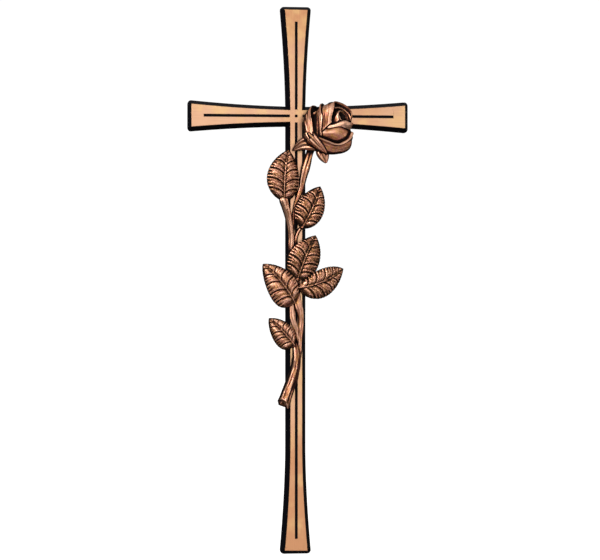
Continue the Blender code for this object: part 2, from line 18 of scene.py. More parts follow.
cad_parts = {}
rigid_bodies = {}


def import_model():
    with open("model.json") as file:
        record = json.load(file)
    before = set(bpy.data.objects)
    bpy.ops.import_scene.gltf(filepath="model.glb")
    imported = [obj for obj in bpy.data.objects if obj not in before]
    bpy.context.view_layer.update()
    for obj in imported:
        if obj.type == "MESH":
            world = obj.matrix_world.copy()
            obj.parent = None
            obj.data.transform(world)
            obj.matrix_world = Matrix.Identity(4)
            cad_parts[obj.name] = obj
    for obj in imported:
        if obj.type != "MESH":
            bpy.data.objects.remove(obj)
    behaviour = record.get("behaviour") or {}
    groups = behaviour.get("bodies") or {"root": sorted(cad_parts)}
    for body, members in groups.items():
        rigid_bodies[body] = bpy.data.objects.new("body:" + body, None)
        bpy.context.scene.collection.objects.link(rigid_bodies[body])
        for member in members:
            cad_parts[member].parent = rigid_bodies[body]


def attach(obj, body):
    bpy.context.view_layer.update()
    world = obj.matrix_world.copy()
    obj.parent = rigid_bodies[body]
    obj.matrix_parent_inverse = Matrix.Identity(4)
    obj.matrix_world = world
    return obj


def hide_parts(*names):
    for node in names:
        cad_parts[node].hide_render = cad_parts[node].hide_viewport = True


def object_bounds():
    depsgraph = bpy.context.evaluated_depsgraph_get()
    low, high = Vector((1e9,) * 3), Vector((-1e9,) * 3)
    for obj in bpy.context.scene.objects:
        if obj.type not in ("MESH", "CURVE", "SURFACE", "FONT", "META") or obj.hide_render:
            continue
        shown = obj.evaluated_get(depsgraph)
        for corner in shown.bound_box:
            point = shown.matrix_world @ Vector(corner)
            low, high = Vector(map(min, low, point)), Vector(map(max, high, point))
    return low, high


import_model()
CAD_BOX = [list(corner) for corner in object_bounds()]

bl_info = {
    "name": "Bronze rose cross",
    "version": (1, 0, 0),
    "blender": (4, 5, 0),
    "location": "View3D > Sidebar > Rose cross",
    "description": "Dresses the cast bronze cross and its rose branch",
    "category": "Object",
}

# Cross: the two bars

ARM_TURNS = {"right": 0, "top": 90, "left": 180, "bottom": 270}
REACH = {"right": 0.080, "top": 0.0773, "left": 0.076, "bottom": 0.3165}
FLARE = 0.076  # an arm widens over this last stretch
FLARE_POWER = 1.75
FLARE_STEPS = 26
CORNER_STEPS = 6
GROOVE_MARGIN = 0.0085  # from a groove's outer end to the end of the face
GROOVE_START = 0.0047  # from the crossing to a groove's inner end
SNAP = 1e-5  # places closer than this are one place
CORNER_MERGE = 0.0004  # points that the inset crowds at a corner are merged within this
ROUNDED_ANGLE = math.radians(28)  # edges that turn more than this are rounded

# Rose branch: lies 0.3 mm in front of the face

FRONT = 0.0093
STEM_RISE = 0.6  # a stem's middle stands this many radii in front of the face
STEM_ROUTES = {
    # x, z and radius along each stem, from its root upwards
    "stalk": [
        (-0.0102, -0.2115, 0.0042), (-0.0064, -0.2005, 0.0041), (-0.0034, -0.1922, 0.0038),
        (-0.0014, -0.1850, 0.0034), (-0.0003, -0.1780, 0.0031), (-0.0002, -0.1720, 0.0026),
        (-0.0012, -0.1655, 0.0018),
    ],
    "right_stem": [
        (-0.0004, -0.1840, 0.0020), (0.0020, -0.1720, 0.0018), (0.0025, -0.1625, 0.0018),
        (0.0030, -0.1552, 0.0021), (0.0033, -0.1486, 0.0023), (0.0028, -0.1428, 0.0026),
        (0.0012, -0.1374, 0.0028), (0.0004, -0.1319, 0.0025), (0.0004, -0.1262, 0.0022),
        (0.0002, -0.1205, 0.0022), (0.0016, -0.1150, 0.0020),
    ],
    "left_stem": [
        (0.0020, -0.1640, 0.0016), (-0.0005, -0.1552, 0.0020), (-0.0028, -0.1479, 0.0023),
        (-0.0033, -0.1406, 0.0021), (-0.0041, -0.1268, 0.0021), (-0.0042, -0.1100, 0.0021),
        (-0.0037, -0.0950, 0.0021), (-0.0038, -0.0880, 0.0021), (-0.0047, -0.0805, 0.0023),
        (-0.0063, -0.0720, 0.0025), (-0.0080, -0.0665, 0.0027), (-0.0095, -0.0610, 0.0032),
        (-0.0097, -0.0565, 0.0014),
    ],
    "leaf_stem": [
        (-0.0036, -0.1160, 0.0016), (-0.0012, -0.1040, 0.0016), (-0.0010, -0.0926, 0.0015),
        (0.0008, -0.0852, 0.0013), (0.0046, -0.0800, 0.0011),
    ],
    "rose_stem": [
        (-0.0034, -0.0970, 0.0014), (-0.0025, -0.0774, 0.0015), (-0.0006, -0.0650, 0.0016),
        (0.0018, -0.0580, 0.0018), (0.0036, -0.0520, 0.0020), (0.0046, -0.0460, 0.0025),
        (0.0060, -0.0400, 0.0030), (0.0078, -0.0335, 0.0030), (0.0103, -0.0254, 0.0029),
        (0.0150, -0.0185, 0.0031),
    ],
}
STEM_SIDES = 32
STEM_STEP = 0.0006  # length between two rings
STEM_TWIST = 40  # radians that the ridges wind in a metre
STEM_SEED = 1.7  # turns each stem's ridges away from the one before
FULL_RIDGES = 0.003  # radius of a stem on which the ridges have their full height
KNOT = 0.06  # height of the swellings along a stem, as a share of its radius
STEM_CHASING = 1.1
STEM_GREEN = 0.15
SEAM = 1e-6  # the two sides of a stem's seam are closer than this

CUT_POINT = Vector((-0.0104, -0.0120, -0.2107))
CUT_HEADING = -53  # degrees from +X towards +Z, along the cut
CUT_TILT = 35  # degrees that turn the cut towards the viewer
PITH_DEPTH = 0.0025

LEAF_VEINS = 6
ROWS_A_VEIN = 18
LEAF_COLUMNS = 64
LEAF_TIP_SHARPNESS = 0.8
LEAF_STALK_HALF = 0.0009
VEIN_SWEEP = 0.38  # how far the side veins climb towards the tip
VEIN_BEND = 3.0  # high bends a vein more sharply beside the midrib
VEIN_CROWDING = 0.2
VEIN_HALF = 0.048  # half the width of a side vein, as a share of their spacing
PILLOW = 0.00030  # how far the skin swells between two side veins
SIDE_CORD = 0.00022  # height of the cord that runs beside each side vein
DOTS = 5  # rows of dimples between two side veins
DOT_STEP = 0.0013
DOT_DEPTH = 0.00018
NOTCHES = 3  # short notches in the margin between two side veins
COLUMN_CROWDING = 1.25  # high draws a leaf's columns together at its midrib
RELIEF_FADE = 0.12  # share of a leaf over which its relief begins, at both ends
LEAF_CHASING = 1.3

PETAL_ROWS = 84
PETAL_COLUMNS = 84
PETAL_ROOT = 0.0035  # radius at a petal's foot
FILL_BLEND = 0.25  # share of a petal's height over which its fill ends
LIP_START = 0.85  # share of a petal's length from which its lip rolls
RIM_START = 0.65  # a petal thins from this share of its height
RIM_THINNING = 0.65
BARE_BLEND = 0.12  # share of a petal over which its patina and painted shade thin
ROSE_BASE = np.array((0.0120, -0.0140, -0.0232))
ROSE_HEADING = 48  # degrees from +X towards +Z
ROSE_TILT = 22  # degrees towards the viewer
ROSE_RELIEF = 0.56  # how much of its full depth the rose keeps
CORE_RADIUS = 0.0130  # the body inside the petals
CORE_MIDDLE = 0.0135  # height of its middle above the rose's base
CORE_HALF = 0.0145  # half its height
CORE_CHASING = 0.3

SEPAL_TIP = 0.7  # high is a sharper tip
SEPAL_STALK = 0.15  # least width, as a share of the widest
SEPAL_ROOT_CROWN = 0.15
SEPAL_CHASING = 1.5
SEPAL_GREEN = 0.1

CAMERA_PLACE = Vector((-0.160, -1.500, -0.128))
CAMERA_AIM = Vector((0.003695, 0.0, -0.119486))
CAMERA_LENS = 123.5
CAMERA_SENSOR = 36.0

ROOM_DARK = 0.12  # strength of the surround below
ROOM_LIGHT = 0.60  # and above
SEEN_WHITE = 1.05  # strength that the camera sees
LAMP_AIM = Vector((0.0, 0.0, -0.10))
LAMPS = {
    # place, width and height, power and tint
    "key_softbox": ((-1.20, -1.60, 0.75), (0.8, 0.8), 26, (1.0, 1.0, 1.0)),
    "fill_softbox": ((1.5, -1.1, -0.1), (0.5, 1.4), 4, (1.0, 1.0, 1.0)),
    "front_softbox": ((0.1, -2.8, -0.1), (1.8, 2.2), 24, (1.0, 1.0, 1.0)),
    "low_softbox": ((0.30, -1.10, -1.50), (0.9, 0.5), 3.5, (0.88, 0.80, 1.0)),
}


class Leaf(NamedTuple):
    """One blade, from the end of its stalk. Left and right are as seen looking to its tip."""

    base: tuple  # x and z
    length: float
    heading: float  # degrees from +X towards +Z
    left: float  # widest half width on each side
    right: float
    left_fullness: float  # low is full near the stalk, high is full near the middle
    right_fullness: float
    bow: float  # how far the midrib bends to the right
    rise: float  # how far the stalk's end stands in front of the face
    tip_rise: float  # and the tip
    arch: float  # how far the middle swells beyond those two
    roll: float  # degrees that bring the left side forwards


LEAVES = {
    "upper_left": Leaf(
        (-0.0090, -0.0625), 0.0378, 85.6, 0.0131, 0.0107, 0.62, 0.58, -0.0013,
        0.0030, 0.0026, 0.0026, 6,
    ),
    "upper_right": Leaf(
        (0.0037, -0.0818), 0.0333, 65.9, 0.0112, 0.0092, 0.62, 0.56, 0.0009,
        0.0032, 0.0022, 0.0026, -6,
    ),
    "middle": Leaf(
        (0.0001, -0.1196), 0.0352, 67.3, 0.0118, 0.0113, 0.50, 0.60, -0.0010,
        0.0052, 0.0040, 0.0026, 3,
    ),
    "lower_left": Leaf(
        (-0.0014, -0.1363), 0.0366, 129.1, 0.0130, 0.0094, 0.39, 0.62, 0.0018,
        0.0040, 0.0022, 0.0030, -4,
    ),
    "lower_right": Leaf(
        (0.0008, -0.1252), 0.0362, 22.4, 0.0090, 0.0112, 0.90, 0.50, 0.0027,
        0.0044, 0.0022, 0.0026, 5,
    ),
    "lowest": Leaf(
        (-0.0014, -0.1675), 0.0275, 132.9, 0.0098, 0.0068, 0.42, 0.75, 0.0007,
        0.0030, 0.0020, 0.0022, -4,
    ),
}


# Patina

# How far it is rubbed off each kind of piece, then what single pieces add to that or take away, which
# also paints light onto pieces that the lamps leave dull and shade onto others
RUBBING = {"leaf": 0.46, "petal": 0.54, "rose": 0.5, "sepal": 0.70}
STEM_RUBBING = 0.62
PIECE_RUBBING_AND_PAINTED_LIGHT = {
    "leaf_lower_left": 0.08, "leaf_lowest": 0.04, "leaf_middle": -0.12,
    "leaf_upper_right": -0.14, "leaf_lower_right": -0.02, "sepal_low": 0.60,
    "sepal_left": 0.40, "sepal_band": 0.34, "petal_hood_inner": 0.62,
    "petal_outer_right": 0.16, "petal_front": 0.07, "petal_hood": -0.13,
    "petal_outer_left": 0.06, "petal_fold": -0.09, "stalk": -0.18, "left_stem": 0.42,
    "right_stem": 0.06, "leaf_stem": 0.16, "rose_stem": 0.02,
}
# How far the painted shadow beside a piece's edge reaches over the pieces before it in this list
EDGE_SHADES = {
    "petal_bud_heart": 0.0006, "petal_bud_inner": 0.0007, "petal_bud_outer": 0.0008,
    "petal_hood_inner": 0.0010, "petal_hood": 0.0026, "petal_front": 0.0014,
    "petal_fold": 0.0009, "petal_outer_left": 0.0024, "petal_outer_right": 0.0027,
    "sepal_low": 0.0008, "sepal_left": 0.0009, "sepal_band": 0.0009,
}
# How green the patina is on each leaf, from 0 to 1
LEAF_GREEN = {"upper_left": 0.7, "middle": 0.9, "lower_right": 0.9, "upper_right": 0.7}
OTHER_GREEN = 0.45
RELIEF_CELL = 0.0003  # one cell of the map that finds what stands out
REACHES = (0.0007, 0.0028)  # how far a point looks for what is near it, and around it
NEAR_HEIGHT = 0.0007  # standing this far above what is near it adds 1 to a point's rubbing
AROUND_HEIGHT = 0.0045  # and this far above what is around it
FLANK_HEIGHT = 0.0110  # the same where a piece is rubbed right down its flanks
SIDE_PAINTED_SHADE = 0.30  # painted shade: what a point's rubbing loses when it faces away from the viewer
SIDE_SHADE_POWER = 1.5


class Petal(NamedTuple):
    """One petal, in turns about the rose's axis: 0 is lower right, 90 faces the viewer.

    Each tuple holds values at even steps from the petal's low angle to its high angle."""

    facing: float  # degrees
    spread: float  # half the angle it covers, degrees
    heights: tuple  # of the rim above the base
    mouths: tuple  # radius of the rim
    bellies: tuple  # radius of the body
    lips: tuple  # radius through which the rim rolls, outwards or, below 0, inwards
    belly_at: float = 0.6  # share of the height
    fill: float = 0.8  # share of its height up to which its inside is filled
    roll: float = 90  # degrees through which its rim turns
    lip_height: float = -1.0  # height of the rolled rim, in its radii
    folds: float = 0.0  # depth of the folds along its rim
    chasing: float = 0.35  # strength of the chasing marks
    patina_and_shade_below: float = 0.0  # share of its height below which the patina is thick and shade is painted
    swelling: float = 0.8  # low is full near the base


ROUND_RIM = (-0.0005, -0.0005)
PETALS = {
    "bud_heart": Petal(
        262, 62, (0.0318, 0.0330, 0.0322), (0.0036, 0.0040, 0.0038), (0.0042, 0.0042), ROUND_RIM,
        patina_and_shade_below=0.84,
    ),
    "bud_inner": Petal(
        62, 78, (0.0304, 0.0304, 0.0314), (0.0036, 0.0032, 0.0026), (0.0042, 0.0038), ROUND_RIM,
        patina_and_shade_below=0.86,
    ),
    "bud_outer": Petal(
        222, 130, (0.0303, 0.0333, 0.0338, 0.0336, 0.0320),
        (0.0052, 0.0045, 0.0044, 0.0053, 0.0060), (0.0068, 0.0068), ROUND_RIM,
        chasing=0.4, patina_and_shade_below=0.66,
    ),
    "hood_inner": Petal(
        262, 78, (0.0315, 0.0338, 0.0343, 0.0340, 0.0312), (0.0087, 0.0087), (0.0096, 0.0096),
        ROUND_RIM,
    ),
    "hood": Petal(
        217.5, 112.5, (0.0264, 0.0350, 0.0361, 0.0362, 0.0368, 0.0356, 0.0300),
        (0.0124, 0.0118, 0.0116, 0.0110, 0.0107, 0.0107, 0.0104), (0.0150, 0.0150), ROUND_RIM,
        belly_at=0.74, fill=0.84, folds=0.00014, chasing=1.6, patina_and_shade_below=0.45,
    ),
    "front": Petal(
        20.5, 80.5, (0.0250, 0.0285, 0.0300, 0.0304, 0.0308, 0.0297, 0.0224),
        (0.0085, 0.0080, 0.0076, 0.0080, 0.0085, 0.0093, 0.0103),
        (0.0166, 0.0174, 0.0172, 0.0160, 0.0150, 0.0146, 0.0150),
        (0.0006, 0.0010, 0.0013, 0.0014, 0.0014, 0.0014, 0.0009), belly_at=0.78, roll=185,
        lip_height=2.6, swelling=1.3,
    ),
    "fold": Petal(
        169, 71, (0.0166, 0.0251, 0.0272, 0.0266, 0.0240),
        (0.0170, 0.0171, 0.0172, 0.0184, 0.0202), (0.0155, 0.0156, 0.0174), ROUND_RIM,
        belly_at=0.78, folds=0.00014, chasing=1.6, patina_and_shade_below=0.55,
    ),
    "outer_left": Petal(
        170, 62, (0.0120, 0.0178, 0.0198, 0.0206, 0.0190),
        (0.0197, 0.0202, 0.0207, 0.0224, 0.0230), (0.0202, 0.0200, 0.0204, 0.0220, 0.0226),
        ROUND_RIM, belly_at=0.80, folds=0.00014, chasing=1.6, patina_and_shade_below=0.2,
    ),
    "outer_right": Petal(
        11.5, 91.5,
        (
            0.0205, 0.0222, 0.0237, 0.0248, 0.0254, 0.0268, 0.0284, 0.0242, 0.0186, 0.0166, 0.0157,
            0.0141, 0.0122,
        ),
        (
            0.0130, 0.0128, 0.0126, 0.0124, 0.0124, 0.0126, 0.0136, 0.0158, 0.0161, 0.0163, 0.0166,
            0.0164, 0.0160,
        ),
        (0.0176, 0.0190, 0.0200, 0.0199, 0.0172, 0.0160, 0.0150), (0.0005, 0.0007, 0.0007),
        belly_at=0.64, roll=140, lip_height=1.2, chasing=1.2, patina_and_shade_below=0.44,
    ),
    "outer_back": Petal(
        262, 70, (0.0220, 0.0270, 0.0220), (0.0160, 0.0160), (0.0180, 0.0180), ROUND_RIM
    ),
}


class Sepal(NamedTuple):
    """A narrow pointed blade, from x, y, z to x, y, z."""

    root: tuple
    tip: tuple
    half_width: float
    fullness: float
    crown: float  # how far its middle stands out
    thickness: float
    bow: float  # how far its middle bends sideways
    rib: float  # height of its ribs


SEPALS = {
    "left": Sepal(
        (0.0135, -0.0190, -0.0215), (-0.0030, -0.0125, -0.0250), 0.0050, 0.30, 0.0032, 0.0026,
        0.0025, 0.0004,
    ),
    "low": Sepal(
        (0.0165, -0.0172, -0.0225), (0.0210, -0.0190, -0.0347), 0.0044, 0.40, 0.0026, 0.0040,
        0.0, 0.0004,
    ),
    "band": Sepal(
        (0.0060, -0.0222, -0.0120), (0.0205, -0.0232, -0.0275), 0.0036, 0.28, 0.0043, 0.0110,
        0.0006, 0.0004,
    ),
}


def linear(hex_colour):
    """An sRGB hex colour as linear red, green, blue and alpha."""
    shares = [int(hex_colour[start : start + 2], 16) / 255 for start in (1, 3, 5)]
    return tuple(
        share / 12.92 if share <= 0.04045 else ((share + 0.055) / 1.055) ** 2.4 for share in shares
    ) + (1.0,)


def length(name, description, default):
    return FloatProperty(
        name=name, description=description, default=default, min=0.0, precision=5, unit="LENGTH"
    )


def paint(name, description, hex_colour):
    return FloatVectorProperty(
        name=name, description=description, size=4, min=0.0, max=1.0, subtype="COLOR",
        default=linear(hex_colour),
    )


class CrossSizes(bpy.types.PropertyGroup):
    depth: length("Depth", "From the flat back to the polished face", 0.009)
    edge_depth: length("Edge depth", "The upright edge, before the slope up to the face", 0.0035)
    slope: length("Slope", "How far the face stands in from the outline", 0.003)
    bar_width: length("Bar width", "Width of the face along the straight bars", 0.0086)
    end_width: length("End width", "Width of the face at the flared ends", 0.0165)
    groove_width: length("Groove width", "Width of the groove along each arm", 0.0019)
    groove_depth: length("Groove depth", "Depth of the groove along each arm", 0.0012)
    softness: length("Edge softness", "Width of the rounding on every edge of the casting", 0.0003)


class BranchSizes(bpy.types.PropertyGroup):
    stem_ridge: length("Stem ridges", "Height of the ridges along a stem", 0.00022)
    leaf_thickness: length("Leaf thickness", "Thickness of a blade beside its midrib", 0.0022)
    midrib_height: length("Midrib height", "How far a midrib stands up", 0.0012)
    midrib_width: length("Midrib width", "Half width of a midrib", 0.0005)
    vein_depth: length("Vein depth", "Depth of a side vein", 0.0009)
    notch_depth: length("Notch depth", "Depth of the short notches in a leaf's margin", 0.0007)
    tooth: length("Tooth", "How far a margin's teeth stand out", 0.00018)
    swell: length("Swell", "How far each half of a blade swells forwards", 0.0010)
    petal_thickness: length("Petal thickness", "Thickness of a petal near its rim", 0.0012)


class Finish(bpy.types.PropertyGroup):
    face: paint("Polished face", "Brushed bronze of the cross's face", "#C59B7D")
    face_warm: paint("Warm face", "The redder tone it drifts to", "#B5825E")
    face_gold: paint("Golden face", "The yellower tone of some patches", "#CBA672")
    patina: paint("Dark patina", "Near-black patina of the sides and grooves", "#06050A")
    # Also the tone of the painted shade on the branch
    recess_patina_and_shade: paint("Recess", "Patina left in the deepest parts of the branch", "#160A07")
    brown: paint("Brown patina", "Patina on the branch's middle levels", "#5A2F27")
    olive: paint("Olive patina", "Its greener tone in the leaves", "#5C4F2C")
    rubbed: paint("Rubbed bronze", "Bronze where the patina is rubbed thin", "#BB7660")
    gilded: paint("Golden bronze", "The more golden tone that it drifts to", "#C0884C")
    bright: paint("Bright bronze", "Bare bronze on the highest parts", "#E8B294")
    grain: length("Casting grain", "Size of the grain of the cast surface", 0.0004)
    brush: length("Brush lines", "Width of one brush line on the face", 0.00025)


class Stage(bpy.types.PropertyGroup):
    floor_drop: length("Floor drop", "How far the floor lies below the cross", 0.12)
    floor_size: length("Floor size", "Side of the floor", 60.0)
    floor_paint: paint("Floor", "Pale matt floor", "#F4F3F1")


SETTINGS = {
    "cross_sizes": CrossSizes, "branch_sizes": BranchSizes, "finish": Finish, "stage_sizes": Stage,
}


# Materials


def add(tree, kind, settings=(), **links):
    """A node with its settings, and its inputs by name or place: a socket is linked, a value is set.

    The setting "stops" holds a ramp's places, each with its colour or grey."""
    node = tree.nodes.new(kind)
    for name, value in dict(settings).items():
        if name == "stops":
            elements = node.color_ramp.elements
            while len(elements) < len(value):
                elements.new(0.5)
            for element, (place, tone) in zip(elements, value):
                element.position = place
                element.color = tone if hasattr(tone, "__len__") else (tone, tone, tone, 1.0)
        else:
            setattr(node, name, value)
    for name, value in links.items():
        key = int(name[1:]) if name[0] == "i" and name[1:].isdigit() else name.replace("_", " ")
        if isinstance(value, bpy.types.NodeSocket):
            tree.links.new(value, node.inputs[key])
        else:
            node.inputs[key].default_value = value
    return node


def empty_material(name):
    material = bpy.data.materials.new(name)
    material.use_nodes = True
    tree = material.node_tree
    tree.nodes.clear()
    return material, tree


# Real sizes of the finishes, in metres

SPECK = 0.0006  # specks in the black patina
POLISH_EDGE = (0.00032, 0.00016)  # depths below the face at which the polish begins and is full
POLISH_RAGGED = 0.00022  # how unevenly it begins
BRUSH_LENGTH = 0.022  # of one brush line
SIDE_ARM_HALF = 0.0125  # brush lines run along a side arm this near its axis
FACE_CLOUD = 0.035  # drifts of tone on the face
FACE_GILDING = 0.012  # golden patches on the face
WARM_STRETCHES = ((0.01, 0.08), (-0.18, -0.30))  # heights over which the face turns redder
CHASED_WIDTH = 0.0009  # of one chasing mark
CHASED_LENGTH = 0.012
SKIN_CLOUD = 0.004  # drifts of tone on the branch
SKIN_PITS = 0.0010  # coarse stipple of the leaves
SKIN_GILDING = 0.0025  # golden patches on the branch
FLOOR_DRIFT = 0.985  # share of the floor's paleness that its darker patches have

# Settings that several nodes share

SMOOTH = {"interpolation_type": "SMOOTHSTEP"}
MULTIPLY_ADD = {"operation": "MULTIPLY_ADD"}
BLEND_COLOURS = {"data_type": "RGBA"}


def brushed_bronze_with_patina(finish, sizes):
    """Cast bronze: the face ground and satin-brushed along each bar, so it glows in a soft streaky
    peach gold; the slopes, sides and grooves keep a near-black matt patina."""
    material, tree = empty_material("brushed_bronze_with_patina")
    place = add(tree, "ShaderNodeTexCoord").outputs["Object"]
    axes = add(tree, "ShaderNodeSeparateXYZ", Vector=place)
    speckle = add(
        tree, "ShaderNodeTexNoise", Vector=place, Scale=1 / SPECK, Detail=3.0
    ).outputs["Fac"]
    # The polish reaches a little over the face's rounded edge, unevenly
    ragged = add(
        tree, "ShaderNodeMath", MULTIPLY_ADD, i0=speckle, i1=POLISH_RAGGED, i2=axes.outputs["Y"]
    )
    face = add(
        tree, "ShaderNodeMapRange", SMOOTH, Value=ragged.outputs[0],
        From_Min=-sizes.depth + POLISH_EDGE[0], From_Max=-sizes.depth + POLISH_EDGE[1],
        To_Min=0.0, To_Max=1.0,
    ).outputs["Result"]
    # Brush lines run along the upright bar, and across on the two side arms
    lines = []
    for width, height in ((finish.brush, BRUSH_LENGTH), (BRUSH_LENGTH, finish.brush)):
        turned = add(tree, "ShaderNodeMapping", Vector=place, Scale=(1 / width, 1.0, 1 / height))
        lines.append(
            add(tree, "ShaderNodeTexNoise", Vector=turned.outputs["Vector"], Scale=1.0, Detail=4.0)
        )
    tests = []
    for axis, operation, limit in (
        ("X", "GREATER_THAN", sizes.bar_width / 2 + 0.0001), ("Z", "LESS_THAN", SIDE_ARM_HALF),
    ):
        off = add(tree, "ShaderNodeMath", {"operation": "ABSOLUTE"}, i0=axes.outputs[axis])
        tests.append(
            add(tree, "ShaderNodeMath", {"operation": operation}, i0=off.outputs[0], i1=limit)
        )
    on_side_arm = add(
        tree, "ShaderNodeMath", {"operation": "MULTIPLY"},
        i0=tests[0].outputs[0], i1=tests[1].outputs[0],
    )
    brushed = add(
        tree, "ShaderNodeMix", Factor=on_side_arm.outputs[0],
        A=lines[0].outputs["Fac"], B=lines[1].outputs["Fac"],
    ).outputs["Result"]
    # The face drifts slowly between tones, redder towards its top and its foot
    warmer = add(
        tree, "ShaderNodeTexNoise", Vector=place, Scale=1 / FACE_CLOUD, Detail=3.0, Roughness=0.6
    ).outputs["Fac"]
    for start, end in WARM_STRETCHES:
        share = add(
            tree, "ShaderNodeMapRange", SMOOTH, Value=axes.outputs["Z"], From_Min=start,
            From_Max=end, To_Min=0.0, To_Max=0.5,
        ).outputs["Result"]
        warmer = add(
            tree, "ShaderNodeMath", {"operation": "ADD"}, i0=warmer, i1=share
        ).outputs[0]
    patches = add(
        tree, "ShaderNodeTexNoise", Vector=place, Scale=1 / FACE_GILDING, Detail=2.0
    ).outputs["Fac"]
    tone = finish.face
    for factor, stops, over in (
        (warmer, ((0.35, 0.0), (0.95, 1.0)), finish.face_warm),
        (patches, ((0.48, 0.0), (0.66, 0.55)), finish.face_gold),
    ):
        share = add(tree, "ShaderNodeValToRGB", {"stops": stops}, Fac=factor).outputs["Color"]
        tone = add(tree, "ShaderNodeMix", BLEND_COLOURS, i0=share, i6=tone, i7=over).outputs[2]
    streak = add(
        tree, "ShaderNodeValToRGB", {"stops": ((0.25, 0.80), (0.75, 1.12))}, Fac=brushed
    ).outputs["Color"]
    tone = add(
        tree, "ShaderNodeMix", {**BLEND_COLOURS, "blend_type": "MULTIPLY"},
        i0=1.0, i6=tone, i7=streak,
    ).outputs[2]
    paler = tuple(min(1.0, channel * 1.6) for channel in finish.patina[:3]) + (1.0,)
    dark = add(
        tree, "ShaderNodeValToRGB", {"stops": ((0.3, finish.patina), (0.75, paler))}, Fac=speckle
    ).outputs["Color"]
    base = add(tree, "ShaderNodeMix", BLEND_COLOURS, i0=face, i6=dark, i7=tone).outputs[2]
    gloss = add(
        tree, "ShaderNodeValToRGB", {"stops": ((0.3, 0.30), (0.7, 0.40))}, Fac=brushed
    ).outputs["Color"]
    rough = add(tree, "ShaderNodeMix", Factor=face, A=0.52, B=gloss).outputs["Result"]
    grain = add(tree, "ShaderNodeTexNoise", Vector=place, Scale=1 / finish.grain, Detail=2.0)
    relief = add(tree, "ShaderNodeMix", Factor=face, A=grain.outputs["Fac"], B=brushed)
    bump = add(
        tree, "ShaderNodeBump", Strength=0.35, Distance=0.00006, Height=relief.outputs["Result"]
    )
    shader = add(
        tree, "ShaderNodeBsdfPrincipled", Base_Color=base, Metallic=face, Roughness=rough,
        Normal=bump.outputs["Normal"], Specular_IOR_Level=0.05,
    )
    add(tree, "ShaderNodeOutputMaterial", Surface=shader.outputs["BSDF"])
    return material


def antique_bronze(finish):
    """Cast bronze under a brown patina that is rubbed off by hand: ridges, rims and veins shine
    pinkish gold, hollows stay dark brown, and the cast skin between them is finely stippled. The level
    that it reads also holds painted light and shade."""
    material, tree = empty_material("antique_bronze")
    place = add(tree, "ShaderNodeTexCoord").outputs["Object"]
    # The rubbed level holds the patina together with painted light and shade
    rubbed = add(tree, "ShaderNodeAttribute", {"attribute_name": "rubbed"}).outputs["Fac"]
    green = add(tree, "ShaderNodeAttribute", {"attribute_name": "olive"}).outputs["Fac"]
    flow = add(tree, "ShaderNodeAttribute", {"attribute_name": "flow"}).outputs["Vector"]
    chasing = add(tree, "ShaderNodeSeparateXYZ", Vector=flow).outputs["Z"]
    stipple, cloud, pits, hue = [
        add(tree, "ShaderNodeTexNoise", Vector=place, Scale=1 / size, Detail=detail).outputs["Fac"]
        for size, detail in (
            (finish.grain, 2.0), (SKIN_CLOUD, 3.0), (SKIN_PITS, 1.0), (SKIN_GILDING, 2.0),
        )
    ]
    # Chasing marks run along the stems and sepals, and across the leaves and petals
    marks = add(
        tree, "ShaderNodeMapping", Vector=flow, Scale=(1 / CHASED_WIDTH, 1 / CHASED_LENGTH, 1.0)
    )
    chased = add(
        tree, "ShaderNodeTexNoise", Vector=marks.outputs["Vector"], Scale=1.0, Detail=2.0
    ).outputs["Fac"]
    # The leaves were stippled more than the rest, coarsely and finely, and are less golden
    pitting, stippling, golden = [
        add(tree, "ShaderNodeMath", MULTIPLY_ADD, i0=green, i1=slope, i2=least).outputs[0]
        for slope, least in ((1.3, 0.0), (0.7, 0.4), (-0.25, 0.9))
    ]
    level = rubbed
    for noise, share in ((stipple, stippling), (pits, pitting), (cloud, 0.22), (chased, chasing)):
        centred = add(tree, "ShaderNodeMath", {"operation": "SUBTRACT"}, i0=noise, i1=0.5)
        level = add(
            tree, "ShaderNodeMath", MULTIPLY_ADD, i0=centred.outputs[0], i1=share, i2=level
        ).outputs[0]
    tint = add(tree, "ShaderNodeMath", {"operation": "MULTIPLY"}, i0=green, i1=cloud).outputs[0]
    middle = add(
        tree, "ShaderNodeMix", BLEND_COLOURS, i0=tint, i6=finish.brown, i7=finish.olive
    ).outputs[2]
    gilt = add(
        tree, "ShaderNodeValToRGB", {"stops": ((0.40, 0.0), (0.60, 1.0))}, Fac=hue
    ).outputs["Color"]
    gilding = add(tree, "ShaderNodeMath", {"operation": "MULTIPLY"}, i0=gilt, i1=golden)
    rubbed_tone = add(
        tree, "ShaderNodeMix", BLEND_COLOURS,
        i0=gilding.outputs[0], i6=finish.rubbed, i7=finish.gilded,
    ).outputs[2]
    # From the recesses and the painted shade up to the bare metal
    tone = finish.recess_patina_and_shade
    for start, end, over in (
        (0.10, 0.42, middle), (0.45, 0.70, rubbed_tone), (0.72, 0.95, finish.bright),
    ):
        share = add(
            tree, "ShaderNodeValToRGB", {"stops": ((start, 0.0), (end, 1.0))}, Fac=level
        ).outputs["Color"]
        tone = add(tree, "ShaderNodeMix", BLEND_COLOURS, i0=share, i6=tone, i7=over).outputs[2]
    metal, rough = [
        add(tree, "ShaderNodeValToRGB", {"stops": stops}, Fac=level).outputs["Color"]
        for stops in (
            ((0.15, 0.35), (0.55, 1.0)), ((0.10, 0.66), (0.55, 0.50), (0.90, 0.36)),
        )
    ]
    relief = add(tree, "ShaderNodeMath", MULTIPLY_ADD, i0=chased, i1=1.3, i2=stipple)
    bump = add(
        tree, "ShaderNodeBump", Strength=0.5, Distance=0.00012, Height=relief.outputs[0]
    )
    shader = add(
        tree, "ShaderNodeBsdfPrincipled", Base_Color=tone, Metallic=metal, Roughness=rough,
        Normal=bump.outputs["Normal"], Specular_IOR_Level=0.12,
    )
    add(tree, "ShaderNodeOutputMaterial", Surface=shader.outputs["BSDF"])
    return material


